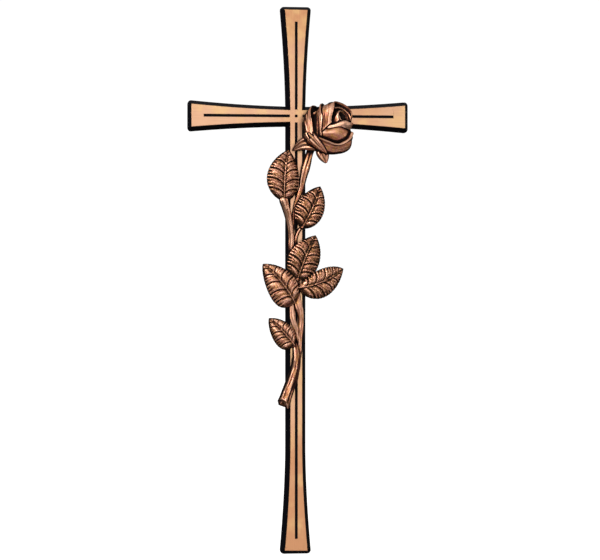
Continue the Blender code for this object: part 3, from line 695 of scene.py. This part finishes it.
def matt_floor_paint(stage):
    """Matt white sheet of a light table: one pale even tone with no gloss, lit through from below."""
    material, tree = empty_material("matt_floor_paint")
    place = add(tree, "ShaderNodeTexCoord").outputs["Object"]
    cloud = add(tree, "ShaderNodeTexNoise", Vector=place, Scale=2.0, Detail=2.0)
    pale = tuple(stage.floor_paint)
    faint = tuple(channel * FLOOR_DRIFT for channel in pale[:3]) + (1.0,)
    tone = add(
        tree, "ShaderNodeValToRGB", {"stops": ((0.3, faint), (0.7, pale))}, Fac=cloud.outputs["Fac"]
    ).outputs["Color"]
    shader = add(
        tree, "ShaderNodeBsdfPrincipled", Base_Color=tone, Roughness=0.9, Emission_Color=tone,
        Emission_Strength=0.85,
    )
    add(tree, "ShaderNodeOutputMaterial", Surface=shader.outputs["BSDF"])
    return material


# Modelling

SHARP = math.radians(50)  # edges that turn more than this stay sharp


def heading(degrees):
    angle = math.radians(degrees)
    return Vector((math.cos(angle), 0.0, math.sin(angle)))


def smooth_step(value):
    value = np.clip(value, 0.0, 1.0)
    return value * value * (3 - 2 * value)


def start_clean():
    if bpy.context.mode != "OBJECT":
        bpy.ops.object.mode_set(mode="OBJECT")
    bpy.ops.object.select_all(action="DESELECT")


def added(name):
    """The primitive just added, named, with its place moved into its mesh."""
    made = bpy.context.active_object
    made.name = name
    made.data.name = name
    bpy.ops.object.transform_apply(location=True, rotation=True, scale=True)
    return made


def select_points(made, test):
    """In edit mode, selects just the points that pass the test, and what lies between them."""
    shape = bmesh.from_edit_mesh(made.data)
    shape.select_mode = {"VERT"}
    bpy.ops.mesh.select_all(action="DESELECT")
    for vert in shape.verts:
        vert.select = bool(test(vert.co))
    shape.select_flush(True)
    shape.select_flush(False)
    bmesh.update_edit_mesh(made.data)


def points_of(made, of="vertices", field="co"):
    values = np.empty(len(made.data.vertices) * 3)
    getattr(made.data, of).foreach_get(field, values)
    return values.reshape(-1, 3)


def set_points(made, places):
    made.data.vertices.foreach_set("co", places.ravel())
    made.data.update()


def set_attribute(made, name, values):
    """Stores a number for each point or, where the values have two axes, a vector."""
    kind, field = ("FLOAT_VECTOR", "vector") if values.ndim == 2 else ("FLOAT", "value")
    layer = made.data.attributes.new(name, kind, "POINT")
    layer.data.foreach_set(field, values.ravel())


def apply_modifier(made, kind, **settings):
    modifier = made.modifiers.new(kind.title(), kind)
    for name, value in settings.items():
        setattr(modifier, name, value)
    bpy.context.view_layer.objects.active = made
    bpy.ops.object.modifier_apply(modifier=modifier.name)


def finish_piece(made, node, material):
    """Gives a piece its material and its body, and hides the CAD node that it stands for."""
    made.data.materials.clear()
    made.data.materials.append(material)
    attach(made, "root")
    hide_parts(node)


# Cross


def outline_half(sizes, arm, distance):
    """Half the width of the casting's outline, at a distance from the crossing."""
    narrow, wide = sizes.bar_width / 2, sizes.end_width / 2
    along = max(0.0, (distance - REACH[arm] + FLARE) / FLARE)
    return narrow + (wide - narrow) * along**FLARE_POWER + sizes.slope


def grow_arm(cross, sizes, arm):
    """Extrudes one side of the crossing outwards, step by step, into a flared arm."""
    along, across = heading(ARM_TURNS[arm]), heading(ARM_TURNS[arm] + 90)
    start = sizes.bar_width / 2 + sizes.slope
    end = REACH[arm] + sizes.slope
    flare_start = max(start, REACH[arm] - FLARE)
    stops = [flare_start + (end - flare_start) * step / FLARE_STEPS for step in range(FLARE_STEPS + 1)]
    select_points(
        cross,
        lambda co: abs(co.dot(along) - start) < SNAP and abs(co.dot(across)) < start + SNAP,
    )
    at, half = start, start
    for stop in stops:
        if stop - at < SNAP:
            continue
        bpy.ops.mesh.extrude_region_move(TRANSFORM_OT_translate={"value": along * (stop - at)})
        wider = outline_half(sizes, arm, stop) / half
        growth = [1 + (wider - 1) * abs(part) for part in across]
        bpy.ops.transform.resize(value=growth)
        at, half = stop, half * wider


def groove_cutter(sizes):
    """A bar for each arm's groove and a small square at the crossing, in one mesh."""
    start_clean()
    middle = -sizes.depth
    deep = 2 * sizes.groove_depth
    wide = sizes.groove_width
    bpy.ops.mesh.primitive_cube_add(size=1.0, location=(0, middle, 0), scale=(wide, deep, wide))
    cutter = added("groove_cutter")
    bpy.ops.object.mode_set(mode="EDIT")
    for arm, turn in ARM_TURNS.items():
        along = heading(turn)
        near, far = GROOVE_START, REACH[arm] - GROOVE_MARGIN
        centre = along * (near + far) / 2 + Vector((0, middle, 0))
        scale = [abs(part) * (far - near) + (1 - abs(part)) * wide for part in along]
        scale[1] = deep
        bpy.ops.mesh.primitive_cube_add(size=1.0, location=centre, scale=scale)
    bpy.ops.object.mode_set(mode="OBJECT")
    return cutter


class ROSECROSS_OT_cross(bpy.types.Operator):
    """Cast cross with flared arms, sloping sides, rounded corners and a groove along each arm"""

    bl_idname = "rose_cross.cross"
    bl_label = "Cross casting"

    def execute(self, context):
        sizes = context.scene.cross_sizes
        start_clean()
        half = sizes.bar_width / 2 + sizes.slope
        bpy.ops.mesh.primitive_plane_add(
            size=2 * half, location=(0, -sizes.edge_depth, 0), rotation=(math.pi / 2, 0, 0)
        )
        cross = added("cross_casting")
        bpy.ops.object.mode_set(mode="EDIT")
        for arm in ARM_TURNS:
            grow_arm(cross, sizes, arm)
        ends = {arm: REACH[arm] + sizes.slope for arm in ARM_TURNS}
        select_points(
            cross,
            lambda co: any(abs(co.dot(heading(ARM_TURNS[arm])) - ends[arm]) < SNAP for arm in ends),
        )
        bpy.ops.mesh.bevel(offset=sizes.slope, segments=CORNER_STEPS, affect="VERTICES")
        bpy.ops.mesh.select_all(action="SELECT")
        bpy.ops.mesh.inset(
            use_boundary=True, use_even_offset=True, thickness=sizes.slope,
            depth=sizes.depth - sizes.edge_depth,
        )
        bpy.ops.mesh.select_all(action="SELECT")
        bpy.ops.mesh.remove_doubles(threshold=CORNER_MERGE)
        select_points(cross, lambda co: co.y > -sizes.edge_depth - SNAP)
        bpy.ops.mesh.extrude_region_move(TRANSFORM_OT_translate={"value": (0, sizes.edge_depth, 0)})
        bpy.ops.mesh.edge_face_add()
        bpy.ops.mesh.select_all(action="SELECT")
        bpy.ops.mesh.normals_make_consistent(inside=False)
        bpy.ops.object.mode_set(mode="OBJECT")
        cutter = groove_cutter(sizes)
        apply_modifier(cross, "BOOLEAN", operation="DIFFERENCE", solver="EXACT", object=cutter)
        bpy.data.objects.remove(cutter)
        apply_modifier(
            cross, "BEVEL", width=sizes.softness, segments=3, limit_method="ANGLE",
            angle_limit=ROUNDED_ANGLE, miter_outer="MITER_ARC",
        )
        start_clean()
        cross.select_set(True)
        context.view_layer.objects.active = cross
        bpy.ops.object.shade_smooth()
        apply_modifier(cross, "WEIGHTED_NORMAL", keep_sharp=True, weight=80)
        finish_piece(
            cross, "cross",
            brushed_bronze_with_patina(context.scene.finish, sizes),
        )
        return {"FINISHED"}


# Branch


def sheet(name, columns, rows, front, back):
    """A closed body between two surfaces over one grid, from -1 to 1 across and 0 to 1 along.

    The grid is added flat and extruded, then every point is set on its surface."""
    start_clean()
    bpy.ops.mesh.primitive_grid_add(x_subdivisions=columns, y_subdivisions=rows, size=2.0)
    made = added(name)
    bpy.ops.object.mode_set(mode="EDIT")
    bpy.ops.mesh.select_all(action="SELECT")
    bpy.ops.mesh.extrude_region_move(TRANSFORM_OT_translate={"value": (0, 0, 1)})
    bpy.ops.object.mode_set(mode="OBJECT")
    flat = points_of(made)
    across, along = flat[:, 0], (flat[:, 1] + 1) / 2
    raised = flat[:, 2] > 0.5
    set_points(made, np.where(raised[:, None], front(across, along), back(across, along)))
    shade(made)
    return made, across, along


def shade(made):
    """Turns the faces outwards and smooths all but the sharp edges."""
    shape = bmesh.new()
    shape.from_mesh(made.data)
    bmesh.ops.recalc_face_normals(shape, faces=shape.faces[:])
    if shape.calc_volume(signed=True) < 0:
        bmesh.ops.reverse_faces(shape, faces=shape.faces[:])
    shape.to_mesh(made.data)
    shape.free()
    made.data.shade_smooth()
    made.data.set_sharp_from_angle(angle=SHARP)


def set_flow(made, across, along, chasing):
    """Metres across and along the chasing marks, and how strong they are."""
    strength = np.full(len(across), chasing)
    set_attribute(made, "flow", np.stack([across, along, strength], axis=1))


def lay_down(made, green):
    """Lets no point reach behind the plane on which the branch lies, and says how green it is."""
    places = points_of(made)
    places[:, 1] = np.minimum(places[:, 1], -FRONT)
    set_points(made, places)
    set_attribute(made, "olive", np.full(len(places), green))


def curve_step(start, end, leaving, arriving, share):
    """A place on a smooth curve from start to end, with given slopes at both."""
    bend = start - end
    return start + share * (leaving + share * (
        -3 * bend - 2 * leaving - arriving + share * (2 * bend + leaving + arriving)
    ))


def smooth_path(route):
    """Closely spaced centres and radii on a smooth curve through a route's points."""
    route = np.array(route)
    last = len(route) - 1
    centres = []
    for step in range(last):
        start, end = route[step], route[step + 1]
        leaving = (end - route[max(step - 1, 0)]) / (2 if step else 1)
        arriving = (route[min(step + 2, last)] - start) / (2 if step + 2 <= last else 1)
        count = max(3, round(np.hypot(*(end - start)[:2]) / STEM_STEP))
        for share in np.arange(count) / count:
            centres.append(curve_step(start, end, leaving, arriving, share))
    centres.append(route[-1])
    return np.array(centres)


def stem(name, route, ridge, seed):
    """A round stem with lengthwise ridges: a grid rolled into rings, each set on its route."""
    path = smooth_path(route)
    rings = len(path)
    start_clean()
    bpy.ops.mesh.primitive_grid_add(x_subdivisions=STEM_SIDES, y_subdivisions=rings - 1, size=2.0)
    made = added(name)
    flat = points_of(made)
    around = flat[:, 0] * math.pi
    ring = np.rint((flat[:, 1] + 1) / 2 * (rings - 1)).astype(int)
    steps = np.gradient(path[:, :2], axis=0)
    steps /= np.linalg.norm(steps, axis=1)[:, None]
    walked = np.concatenate([[0], np.cumsum(np.hypot(*np.diff(path[:, :2], axis=0).T))])
    x, z, radius = path[ring].T
    distance = walked[ring]
    twist = distance * STEM_TWIST
    # Ridges of three widths that wind unlike each other, and swellings at uneven distances
    wave = np.cos(4 * around + twist + seed) + 0.8 * np.cos(7 * around - 1.7 * twist + 2 * seed)
    wave += 0.7 * np.cos(11 * around + 0.6 * twist + 3 * seed) * np.cos(distance * 300 + seed)
    knots = KNOT * radius * np.cos(distance * 210 + seed) * np.cos(distance * 77 + 2 * seed)
    reach = radius + ridge * wave * radius / FULL_RIDGES + knots
    sideways, forwards = reach * np.sin(around), reach * np.cos(around)
    set_points(made, np.stack((
        x + steps[ring, 1] * sideways,
        -FRONT - STEM_RISE * radius - forwards,
        z - steps[ring, 0] * sideways,
    ), axis=-1))
    set_flow(made, np.abs(around) * radius, distance, STEM_CHASING)
    bpy.ops.object.mode_set(mode="EDIT")
    bpy.ops.mesh.select_all(action="SELECT")
    bpy.ops.mesh.remove_doubles(threshold=SEAM)
    bpy.ops.mesh.select_all(action="DESELECT")
    bpy.ops.mesh.select_mode(type="VERT")
    bpy.ops.mesh.select_non_manifold()
    bpy.ops.mesh.edge_face_add()
    bpy.ops.object.mode_set(mode="OBJECT")
    shade(made)
    return made


def cut_foot(stalk):
    """Cuts the stalk's foot slantwise and sinks the pith in the cut."""
    tilt = math.radians(CUT_TILT)
    outward = heading(CUT_HEADING - 90) * math.cos(tilt) - Vector((0.0, math.sin(tilt), 0.0))
    bpy.context.view_layer.objects.active = stalk
    bpy.ops.object.mode_set(mode="EDIT")
    bpy.ops.mesh.select_all(action="SELECT")
    bpy.ops.mesh.bisect(plane_co=CUT_POINT, plane_no=outward, clear_outer=True, use_fill=True)
    bpy.ops.mesh.select_mode(type="FACE")
    shape = bmesh.from_edit_mesh(stalk.data)
    bpy.ops.mesh.select_all(action="DESELECT")
    # The cut is the only face of many sides that looks outwards
    for face in shape.faces:
        face.select = face.normal.dot(outward) > 0.999 and len(face.verts) > 8
    bmesh.update_edit_mesh(stalk.data)
    # Bark rim, wood, then the wall of the pith hole
    for sunk, share in ((0.0003, 0.80), (-0.0002, 0.50), (PITH_DEPTH, 0.75)):
        bpy.ops.mesh.extrude_region_move(TRANSFORM_OT_translate={"value": -outward * sunk})
        bpy.ops.transform.resize(value=(share, share, share))
    bpy.ops.object.mode_set(mode="OBJECT")


class ROSECROSS_OT_stems(bpy.types.Operator):
    """Ridged stems of the branch and the slanting cut at the foot of the stalk"""

    bl_idname = "rose_cross.stems"
    bl_label = "Stems"

    def execute(self, context):
        ridge = context.scene.branch_sizes.stem_ridge
        for seed, (name, route) in enumerate(STEM_ROUTES.items()):
            made = stem("branch_" + name, route, ridge, seed * STEM_SEED)
            if name == "stalk":
                cut_foot(made)
            lay_down(made, STEM_GREEN)
        return {"FINISHED"}


def blade_half(leaf, across, along):
    """Half the width of a leaf at a share of its length: rounded at the stalk, pointed at the tip."""
    width = np.where(across > 0, leaf.right, leaf.left)
    fullness = np.where(across > 0, leaf.right_fullness, leaf.left_fullness)
    peak = fullness / (fullness + LEAF_TIP_SHARPNESS)
    along = np.clip(along, 0.0, 1.0)
    most = peak**fullness * (1 - peak) ** LEAF_TIP_SHARPNESS
    half = width * along**fullness * (1 - along) ** LEAF_TIP_SHARPNESS / most
    return np.maximum(half, LEAF_STALK_HALF * (1 - 0.7 * along))


def blade_point(leaf, across, row, lift, tooth):
    """Points of a leaf: across is -1 to 1, row is 0 to 1 from stalk to tip, lift is forwards."""
    out = np.abs(across)
    along = row - VEIN_CROWDING / math.tau * np.sin(math.tau * row)
    share = along + VEIN_SWEEP * along**0.6 * (1 - along) * (1 - (1 - out) ** VEIN_BEND)
    half = blade_half(leaf, across, share)
    tip = smooth_step(row / 0.1) * smooth_step((1 - row) / 0.1)
    saw = (row * LEAF_VEINS * NOTCHES) % 1.0
    half = half + tooth * tip * (1.5 * saw - 0.7) * out**8
    onward, right = np.array(heading(leaf.heading)), np.array(heading(leaf.heading - 90))
    middle = 4 * share * (1 - share)
    sideways = leaf.bow * middle + across * half
    forward = leaf.rise + (leaf.tip_rise - leaf.rise) * share + leaf.arch * middle
    forward = forward - across * half * math.tan(math.radians(leaf.roll))
    place = np.array((leaf.base[0], -FRONT, leaf.base[1]))
    place = place + onward * (leaf.length * share)[:, None] + right * sideways[:, None]
    place[:, 1] -= forward + lift
    return place


def groove(phase, half_width):
    """1 in the middle of a groove at every whole number, falling smoothly to 0 at its sides."""
    return np.exp(-((np.abs(phase - np.rint(phase)) / half_width) ** 2))


def leaf_relief(leaf, sizes, across, row):
    """How far the front of a blade stands out: midrib, swollen halves, side veins and notches."""
    out = np.abs(across)
    half = blade_half(leaf, across, row)
    fade = smooth_step(row / RELIEF_FADE) * smooth_step((1 - row) / RELIEF_FADE)
    midrib = np.exp(-((out * half / sizes.midrib_width) ** 2)) * (1 - 0.5 * row)
    swell = sizes.swell * np.sin(math.pi * out**0.75) * fade
    phase = LEAF_VEINS * row
    vein = groove(phase, VEIN_HALF) * smooth_step(out / 0.06) * (1 - 0.35 * out**2)
    pillow = np.abs(np.sin(math.pi * phase)) ** 0.7 * smooth_step(out / 0.3) * (1 - out**4)
    cord = groove(phase - 0.20, 0.06) * smooth_step(out / 0.12) * (1 - out**3)
    dots = np.cos(math.tau * phase * DOTS) * np.cos(math.tau * out * half / DOT_STEP)
    dots = dots * smooth_step(out / 0.2) * (1 - out**6)
    notch = groove(phase * NOTCHES, 0.26) * smooth_step((out - 0.64) / 0.26)
    return (
        sizes.midrib_height * midrib + swell
        + (PILLOW * pillow + SIDE_CORD * cord + DOT_DEPTH * dots - sizes.vein_depth * vein) * fade
        - sizes.notch_depth * notch * fade - sizes.swell / 2 * out**4
    )


class ROSECROSS_OT_leaves(bpy.types.Operator):
    """Rose leaves with a raised midrib, sunk side veins and notched margins"""

    bl_idname = "rose_cross.leaves"
    bl_label = "Leaves"

    def execute(self, context):
        sizes = context.scene.branch_sizes
        for name, blade in LEAVES.items():

            def spread(column):
                return np.sign(column) * np.abs(column) ** COLUMN_CROWDING

            def front(column, row):
                across = spread(column)
                return blade_point(
                    blade, across, row, leaf_relief(blade, sizes, across, row), sizes.tooth
                )

            def back(column, row):
                across = spread(column)
                thickness = sizes.leaf_thickness * (1 - 0.35 * across**2) + sizes.swell / 2 * across**4
                return blade_point(blade, across, row, -thickness, sizes.tooth)

            made, column, row = sheet(
                "branch_leaf_" + name, LEAF_COLUMNS, LEAF_VEINS * ROWS_A_VEIN, front, back
            )
            across = spread(column)
            set_flow(made, row * blade.length, np.abs(across) * blade.left, LEAF_CHASING)
            lay_down(made, LEAF_GREEN.get(name, OTHER_GREEN))
        return {"FINISHED"}


def rose_axes():
    """The rose's axis, then the two directions across it: to the lower right and to the viewer."""
    tilt = math.radians(ROSE_TILT)
    axis = heading(ROSE_HEADING) * math.cos(tilt) - Vector((0.0, math.sin(tilt), 0.0))
    right = heading(ROSE_HEADING - 90)
    return np.array(axis), np.array(right), np.array(right.cross(axis).normalized())


def rose_point(angle, radius, height):
    """Points at an angle and radius about the rose's axis, flattened as the relief is."""
    axis, right, front = rose_axes()
    turn = np.radians(angle)
    offset = axis * height[:, None]
    offset = offset + (right * np.cos(turn)[:, None] + front * np.sin(turn)[:, None]) * radius[:, None]
    offset[:, 1] *= ROSE_RELIEF
    return ROSE_BASE + offset


def between(values, across):
    """A smooth curve through values at even steps from -1 to 1."""
    values = np.array(values)
    last = len(values) - 1
    place = (across + 1) / 2 * last
    step = np.clip(place.astype(int), 0, last - 1)
    share = place - step
    start, end = values[step], values[step + 1]
    leaving = (end - values[np.maximum(step - 1, 0)]) / 2
    arriving = (values[np.minimum(step + 2, last)] - start) / 2
    return curve_step(start, end, leaving, arriving, share)


def petal_profile(form, across, along):
    """Radius and height on a petal's outer side, from the base to the end of its rolled lip."""
    rim = between(form.heights, across)
    mouth = between(form.mouths, across)
    belly = between(form.bellies, across)
    climb = np.minimum(1.0, along / LIP_START)
    swelling = np.sin(math.pi / 2 * np.minimum(1.0, climb / form.belly_at)) ** form.swelling
    closing = np.maximum(0.0, (climb - form.belly_at) / (1 - form.belly_at)) ** 2
    radius = np.where(
        climb < form.belly_at,
        PETAL_ROOT + (belly - PETAL_ROOT) * swelling,
        belly + (mouth - belly) * closing,
    )
    # Two waves of unlike lengths, so that no two folds are alike
    folded = np.cos(44 * along + 3 * across + form.facing) + 0.7 * np.cos(71 * along - 4 * across)
    radius = radius + form.folds * folded * smooth_step(along / 0.3)
    lip = between(form.lips, across)
    turn = math.radians(form.roll) * np.maximum(0.0, along - LIP_START) / (1 - LIP_START)
    return radius + lip * (1 - np.cos(turn)), rim * climb + lip * form.lip_height * np.sin(turn)


def petal_inside(form, thickest, across, along):
    """The inner side behind it: thin at the lip, filled to near the axis at the base."""
    step = 0.01
    radius, height = petal_profile(form, across, along)
    after = petal_profile(form, across, np.minimum(1.0, along + step))
    before = petal_profile(form, across, np.maximum(0.0, along - step))
    outwards, upwards = after[0] - before[0], after[1] - before[1]
    size = np.hypot(outwards, upwards)
    outwards, upwards = outwards / size, upwards / size
    thinning = 1 - RIM_THINNING * smooth_step((along - RIM_START) / (1 - RIM_START))
    thickness = np.minimum(thickest, 0.7 * radius) * thinning
    filled = smooth_step((form.fill - along) / FILL_BLEND)
    depth = thickness + (radius * 0.8 - thickness) * filled
    return (
        radius + depth * (-upwards * (1 - filled) - filled),
        height + depth * outwards * (1 - filled),
    )


class ROSECROSS_OT_rose(bpy.types.Operator):
    """Rose: a wound bud inside petals with rolled lips"""

    bl_idname = "rose_cross.rose"
    bl_label = "Rose"

    def execute(self, context):
        sizes = context.scene.branch_sizes
        for name, form in PETALS.items():

            def turned(across, along):
                return form.facing + form.spread * across

            def front(across, along):
                return rose_point(turned(across, along), *petal_profile(form, across, along))

            def back(across, along):
                inside = petal_inside(form, sizes.petal_thickness, across, along)
                return rose_point(turned(across, along), *inside)

            made, across, along = sheet("branch_petal_" + name, PETAL_COLUMNS, PETAL_ROWS, front, back)
            reach = math.radians(form.spread) * max(form.bellies)
            set_flow(made, along * max(form.heights), across * reach, form.chasing)
            # Thicker patina and painted shade low on the petal
            if form.patina_and_shade_below:
                thick = 1 - smooth_step((along - form.patina_and_shade_below) / BARE_BLEND)
                set_attribute(made, "thick", thick)
            lay_down(made, 0.0)
        start_clean()
        bpy.ops.mesh.primitive_uv_sphere_add(segments=32, ring_count=20, radius=1.0)
        core = added("branch_rose_core")
        x, y, z = points_of(core).T
        set_points(core, rose_point(
            np.degrees(np.arctan2(y, x)), np.hypot(x, y) * CORE_RADIUS, CORE_MIDDLE + z * CORE_HALF
        ))
        set_flow(core, x * CORE_RADIUS, z * CORE_HALF, CORE_CHASING)
        shade(core)
        lay_down(core, 0.0)
        return {"FINISHED"}


class ROSECROSS_OT_sepals(bpy.types.Operator):
    """Ribbed sepals at the foot of the rose"""

    bl_idname = "rose_cross.sepals"
    bl_label = "Sepals"

    def execute(self, context):
        for name, form in SEPALS.items():
            root, tip = Vector(form.root), Vector(form.tip)
            onward = tip - root
            sideways = np.array(onward.cross(Vector((0.0, -1.0, 0.0))).normalized())
            onward, root = np.array(onward), np.array(root)

            def point(across, along, lift):
                peak = form.fullness / (form.fullness + SEPAL_TIP)
                most = peak**form.fullness * (1 - peak) ** SEPAL_TIP
                half = form.half_width * along**form.fullness * (1 - along) ** SEPAL_TIP / most
                half = np.maximum(half, form.half_width * SEPAL_STALK)
                arch = SEPAL_ROOT_CROWN + (1 - SEPAL_ROOT_CROWN) * along
                crown = form.crown * np.sin(math.pi * arch) * (1 - 0.6 * across**2)
                shift = across * half + form.bow * np.sin(math.pi * along)
                place = root + onward * along[:, None] + sideways * shift[:, None]
                place[:, 1] -= crown + lift
                return place

            def front(across, along):
                ribs = form.rib * np.cos(across * 8.5) * np.sin(math.pi * along) ** 0.5
                return point(across, along, ribs)

            def back(across, along):
                return point(across, along, -form.thickness)

            made, across, along = sheet("branch_sepal_" + name, 40, 64, front, back)
            length_along = along * np.linalg.norm(onward)
            set_flow(made, across * form.half_width, length_along, SEPAL_CHASING)
            lay_down(made, SEPAL_GREEN)
        return {"FINISHED"}


def relief_map(pieces, cell):
    """How far the branch stands forwards, over a grid seen from the front, and which piece it is."""
    places, faces, first = [], [], 0
    ends = []
    for piece in pieces:
        own = points_of(piece)
        places.append(own)
        faces.extend([[first + index for index in face.vertices] for face in piece.data.polygons])
        first += len(own)
        ends.append(len(faces))
    places = np.concatenate(places)
    tree = BVHTree.FromPolygons(places.tolist(), faces)
    low, high = places.min(axis=0) - 4 * cell, places.max(axis=0) + 4 * cell
    xs, zs = np.arange(low[0], high[0], cell), np.arange(low[2], high[2], cell)
    heights = np.zeros((len(xs), len(zs)))
    owners = np.full(heights.shape, -1)
    start, towards = low[1] - 0.01, Vector((0.0, 1.0, 0.0))
    for i, x in enumerate(xs):
        for j, z in enumerate(zs):
            hit, _, face, _ = tree.ray_cast(Vector((x, start, z)), towards)
            if hit is not None:
                heights[i, j] = -hit.y
                owners[i, j] = np.searchsorted(ends, face, side="right")
    return xs, zs, heights, owners


def blurred(values, sigma):
    """Gaussian blur, one axis after the other; sigma is in cells."""
    reach = int(math.ceil(3 * sigma))
    weights = np.exp(-0.5 * (np.arange(-reach, reach + 1) / sigma) ** 2)
    weights /= weights.sum()
    for axis in (0, 1):
        values = np.apply_along_axis(np.convolve, axis, values, weights, mode="same")
    return values


def sampled(grid, xs, zs, x, z):
    """Values of a grid at points, blended between its cells."""
    i = np.clip((x - xs[0]) / (xs[1] - xs[0]), 0, len(xs) - 1.001)
    j = np.clip((z - zs[0]) / (zs[1] - zs[0]), 0, len(zs) - 1.001)
    low_i, low_j = i.astype(int), j.astype(int)
    a, b = i - low_i, j - low_j
    return (
        grid[low_i, low_j] * (1 - a) * (1 - b) + grid[low_i + 1, low_j] * a * (1 - b)
        + grid[low_i, low_j + 1] * (1 - a) * b + grid[low_i + 1, low_j + 1] * a * b
    )


class ROSECROSS_OT_patina_and_shade(bpy.types.Operator):
    """Brown patina on the whole branch, rubbed off where it stands above what is around it, with
    painted shade on sides that face away, beside edges in front and low on some petals, and painted
    light on some pieces
    """

    bl_idname = "rose_cross.patina"
    bl_label = "Patina"

    def execute(self, context):
        pieces = [piece for piece in bpy.data.objects if piece.name.startswith("branch_")]
        xs, zs, heights, owners = relief_map(pieces, RELIEF_CELL)
        covered = (owners >= 0).astype(float)
        names = [piece.name.removeprefix("branch_") for piece in pieces]
        shades = {
            name: blurred((owners == names.index(name)).astype(float), reach / 2 / RELIEF_CELL)
            for name, reach in EDGE_SHADES.items()
        }
        order = list(EDGE_SHADES)
        levels = []
        for reach in REACHES:
            share = np.maximum(blurred(covered, reach / RELIEF_CELL), 1e-6)
            levels.append(blurred(heights, reach / RELIEF_CELL) / share)
        material = antique_bronze(context.scene.finish)
        for piece, own in zip(pieces, names):
            places = points_of(piece)
            turned = points_of(piece, "vertex_normals", "vector")
            forward = -places[:, 1]
            near, around = (sampled(grid, xs, zs, places[:, 0], places[:, 2]) for grid in levels)
            kind = own.partition("_")[0]
            # The single pieces' amounts also paint light onto some pieces and shade onto others
            value = RUBBING.get(kind, STEM_RUBBING) + PIECE_RUBBING_AND_PAINTED_LIGHT.get(own, 0.0)
            # The stalk, the left and right stems and the outer petals are rubbed right down their
            # flanks
            flanks = kind not in RUBBING or own.startswith("petal_outer")
            value += (forward - near) / NEAR_HEIGHT
            value += (forward - around) / (FLANK_HEIGHT if flanks else AROUND_HEIGHT)
            # Painted shade on the sides of each piece that face away from the viewer
            value -= SIDE_PAINTED_SHADE * (1 - np.clip(-turned[:, 1], 0, 1)) ** SIDE_SHADE_POWER
            # Painted shadow beside the edges of the pieces that lie in front
            for over in order[order.index(own) + 1:] if own in order else ():
                edge = sampled(shades[over], xs, zs, places[:, 0], places[:, 2])
                value -= smooth_step((edge - 0.02) / 0.10)
            # Thicker patina and painted shade low on some petals
            if "thick" in piece.data.attributes:
                thick = np.empty(len(places))
                piece.data.attributes["thick"].data.foreach_get("value", thick)
                value -= thick
            # The rubbed level: patina, painted light and painted shade together
            set_attribute(piece, "rubbed", np.clip(value, 0.0, 1.0))
            finish_piece(piece, "rose_branch", material)
        return {"FINISHED"}


# Stage


def aim(made, target):
    made.rotation_euler = (target - made.location).to_track_quat("-Z", "Y").to_euler()


def lamp(name, place, size, power, tint):
    bpy.ops.object.light_add(type="AREA", location=place)
    made = bpy.context.active_object
    made.name = name
    made.data.shape = "RECTANGLE"
    made.data.size, made.data.size_y = size
    made.data.energy = power
    made.data.color = tint
    aim(made, LAMP_AIM)


class ROSECROSS_OT_stage(bpy.types.Operator):
    """Pale floor, soft studio light and the camera"""

    bl_idname = "rose_cross.stage"
    bl_label = "Stage"

    def execute(self, context):
        scene = context.scene
        sizes = scene.stage_sizes
        start_clean()
        level = CAD_BOX[0][2] - sizes.floor_drop
        bpy.ops.mesh.primitive_plane_add(size=sizes.floor_size, location=(0, 0, level))
        floor = added("studio_floor")
        floor.data.materials.append(matt_floor_paint(sizes))
        # The bronze mirrors the grey surround and not the floor
        floor.visible_glossy = False
        floor.visible_diffuse = False
        for name, form in LAMPS.items():
            lamp(name, *form)
        world = bpy.data.worlds.new("studio_surround")
        scene.world = world
        world.use_nodes = True
        tree = world.node_tree
        tree.nodes.clear()
        # The camera sees plain white, and the bronze mirrors a grey room, lighter above
        towards = add(tree, "ShaderNodeTexCoord").outputs["Generated"]
        upwards = add(tree, "ShaderNodeSeparateXYZ", Vector=towards).outputs["Z"]
        room = add(
            tree, "ShaderNodeMapRange", SMOOTH, Value=upwards, From_Min=-0.2, From_Max=0.9,
            To_Min=ROOM_DARK, To_Max=ROOM_LIGHT,
        ).outputs["Result"]
        seen = add(tree, "ShaderNodeLightPath").outputs["Is Camera Ray"]
        strength = add(tree, "ShaderNodeMix", Factor=seen, A=room, B=SEEN_WHITE).outputs["Result"]
        sky = add(tree, "ShaderNodeBackground", Color=(1.0, 1.0, 1.0, 1.0), Strength=strength)
        add(tree, "ShaderNodeOutputWorld", Surface=sky.outputs["Background"])
        bpy.ops.object.camera_add(location=CAMERA_PLACE)
        camera = context.active_object
        aim(camera, CAMERA_AIM)
        camera.data.sensor_width = CAMERA_SENSOR
        camera.data.lens = CAMERA_LENS
        camera.data.clip_end = 100.0
        scene.camera = camera
        scene.view_settings.view_transform = "Standard"
        return {"FINISHED"}


OPERATORS = (
    ROSECROSS_OT_stage, ROSECROSS_OT_cross, ROSECROSS_OT_stems, ROSECROSS_OT_leaves,
    ROSECROSS_OT_rose, ROSECROSS_OT_sepals, ROSECROSS_OT_patina_and_shade,
)


class ROSECROSS_PT_sidebar(bpy.types.Panel):
    """Sizes, colours and steps of the rose cross"""

    bl_idname = "ROSECROSS_PT_sidebar"
    bl_label = "Rose cross"
    bl_space_type = "VIEW_3D"
    bl_region_type = "UI"
    bl_category = "Rose cross"

    def draw(self, context):
        for name, group in SETTINGS.items():
            box = self.layout.box()
            for key in group.__annotations__:
                box.prop(getattr(context.scene, name), key)
        for operator in OPERATORS:
            self.layout.operator(operator.bl_idname)


CLASSES = (*SETTINGS.values(), *OPERATORS, ROSECROSS_PT_sidebar)


def register():
    for group in CLASSES:
        bpy.utils.register_class(group)
    for name, group in SETTINGS.items():
        setattr(bpy.types.Scene, name, PointerProperty(type=group))


def unregister():
    for name in SETTINGS:
        delattr(bpy.types.Scene, name)
    for group in reversed(CLASSES):
        bpy.utils.unregister_class(group)


def main():
    register()
    for operator in OPERATORS:
        family, step = operator.bl_idname.split(".")
        getattr(getattr(bpy.ops, family), step)()
    start_clean()


if __name__ == "__main__":
    main()
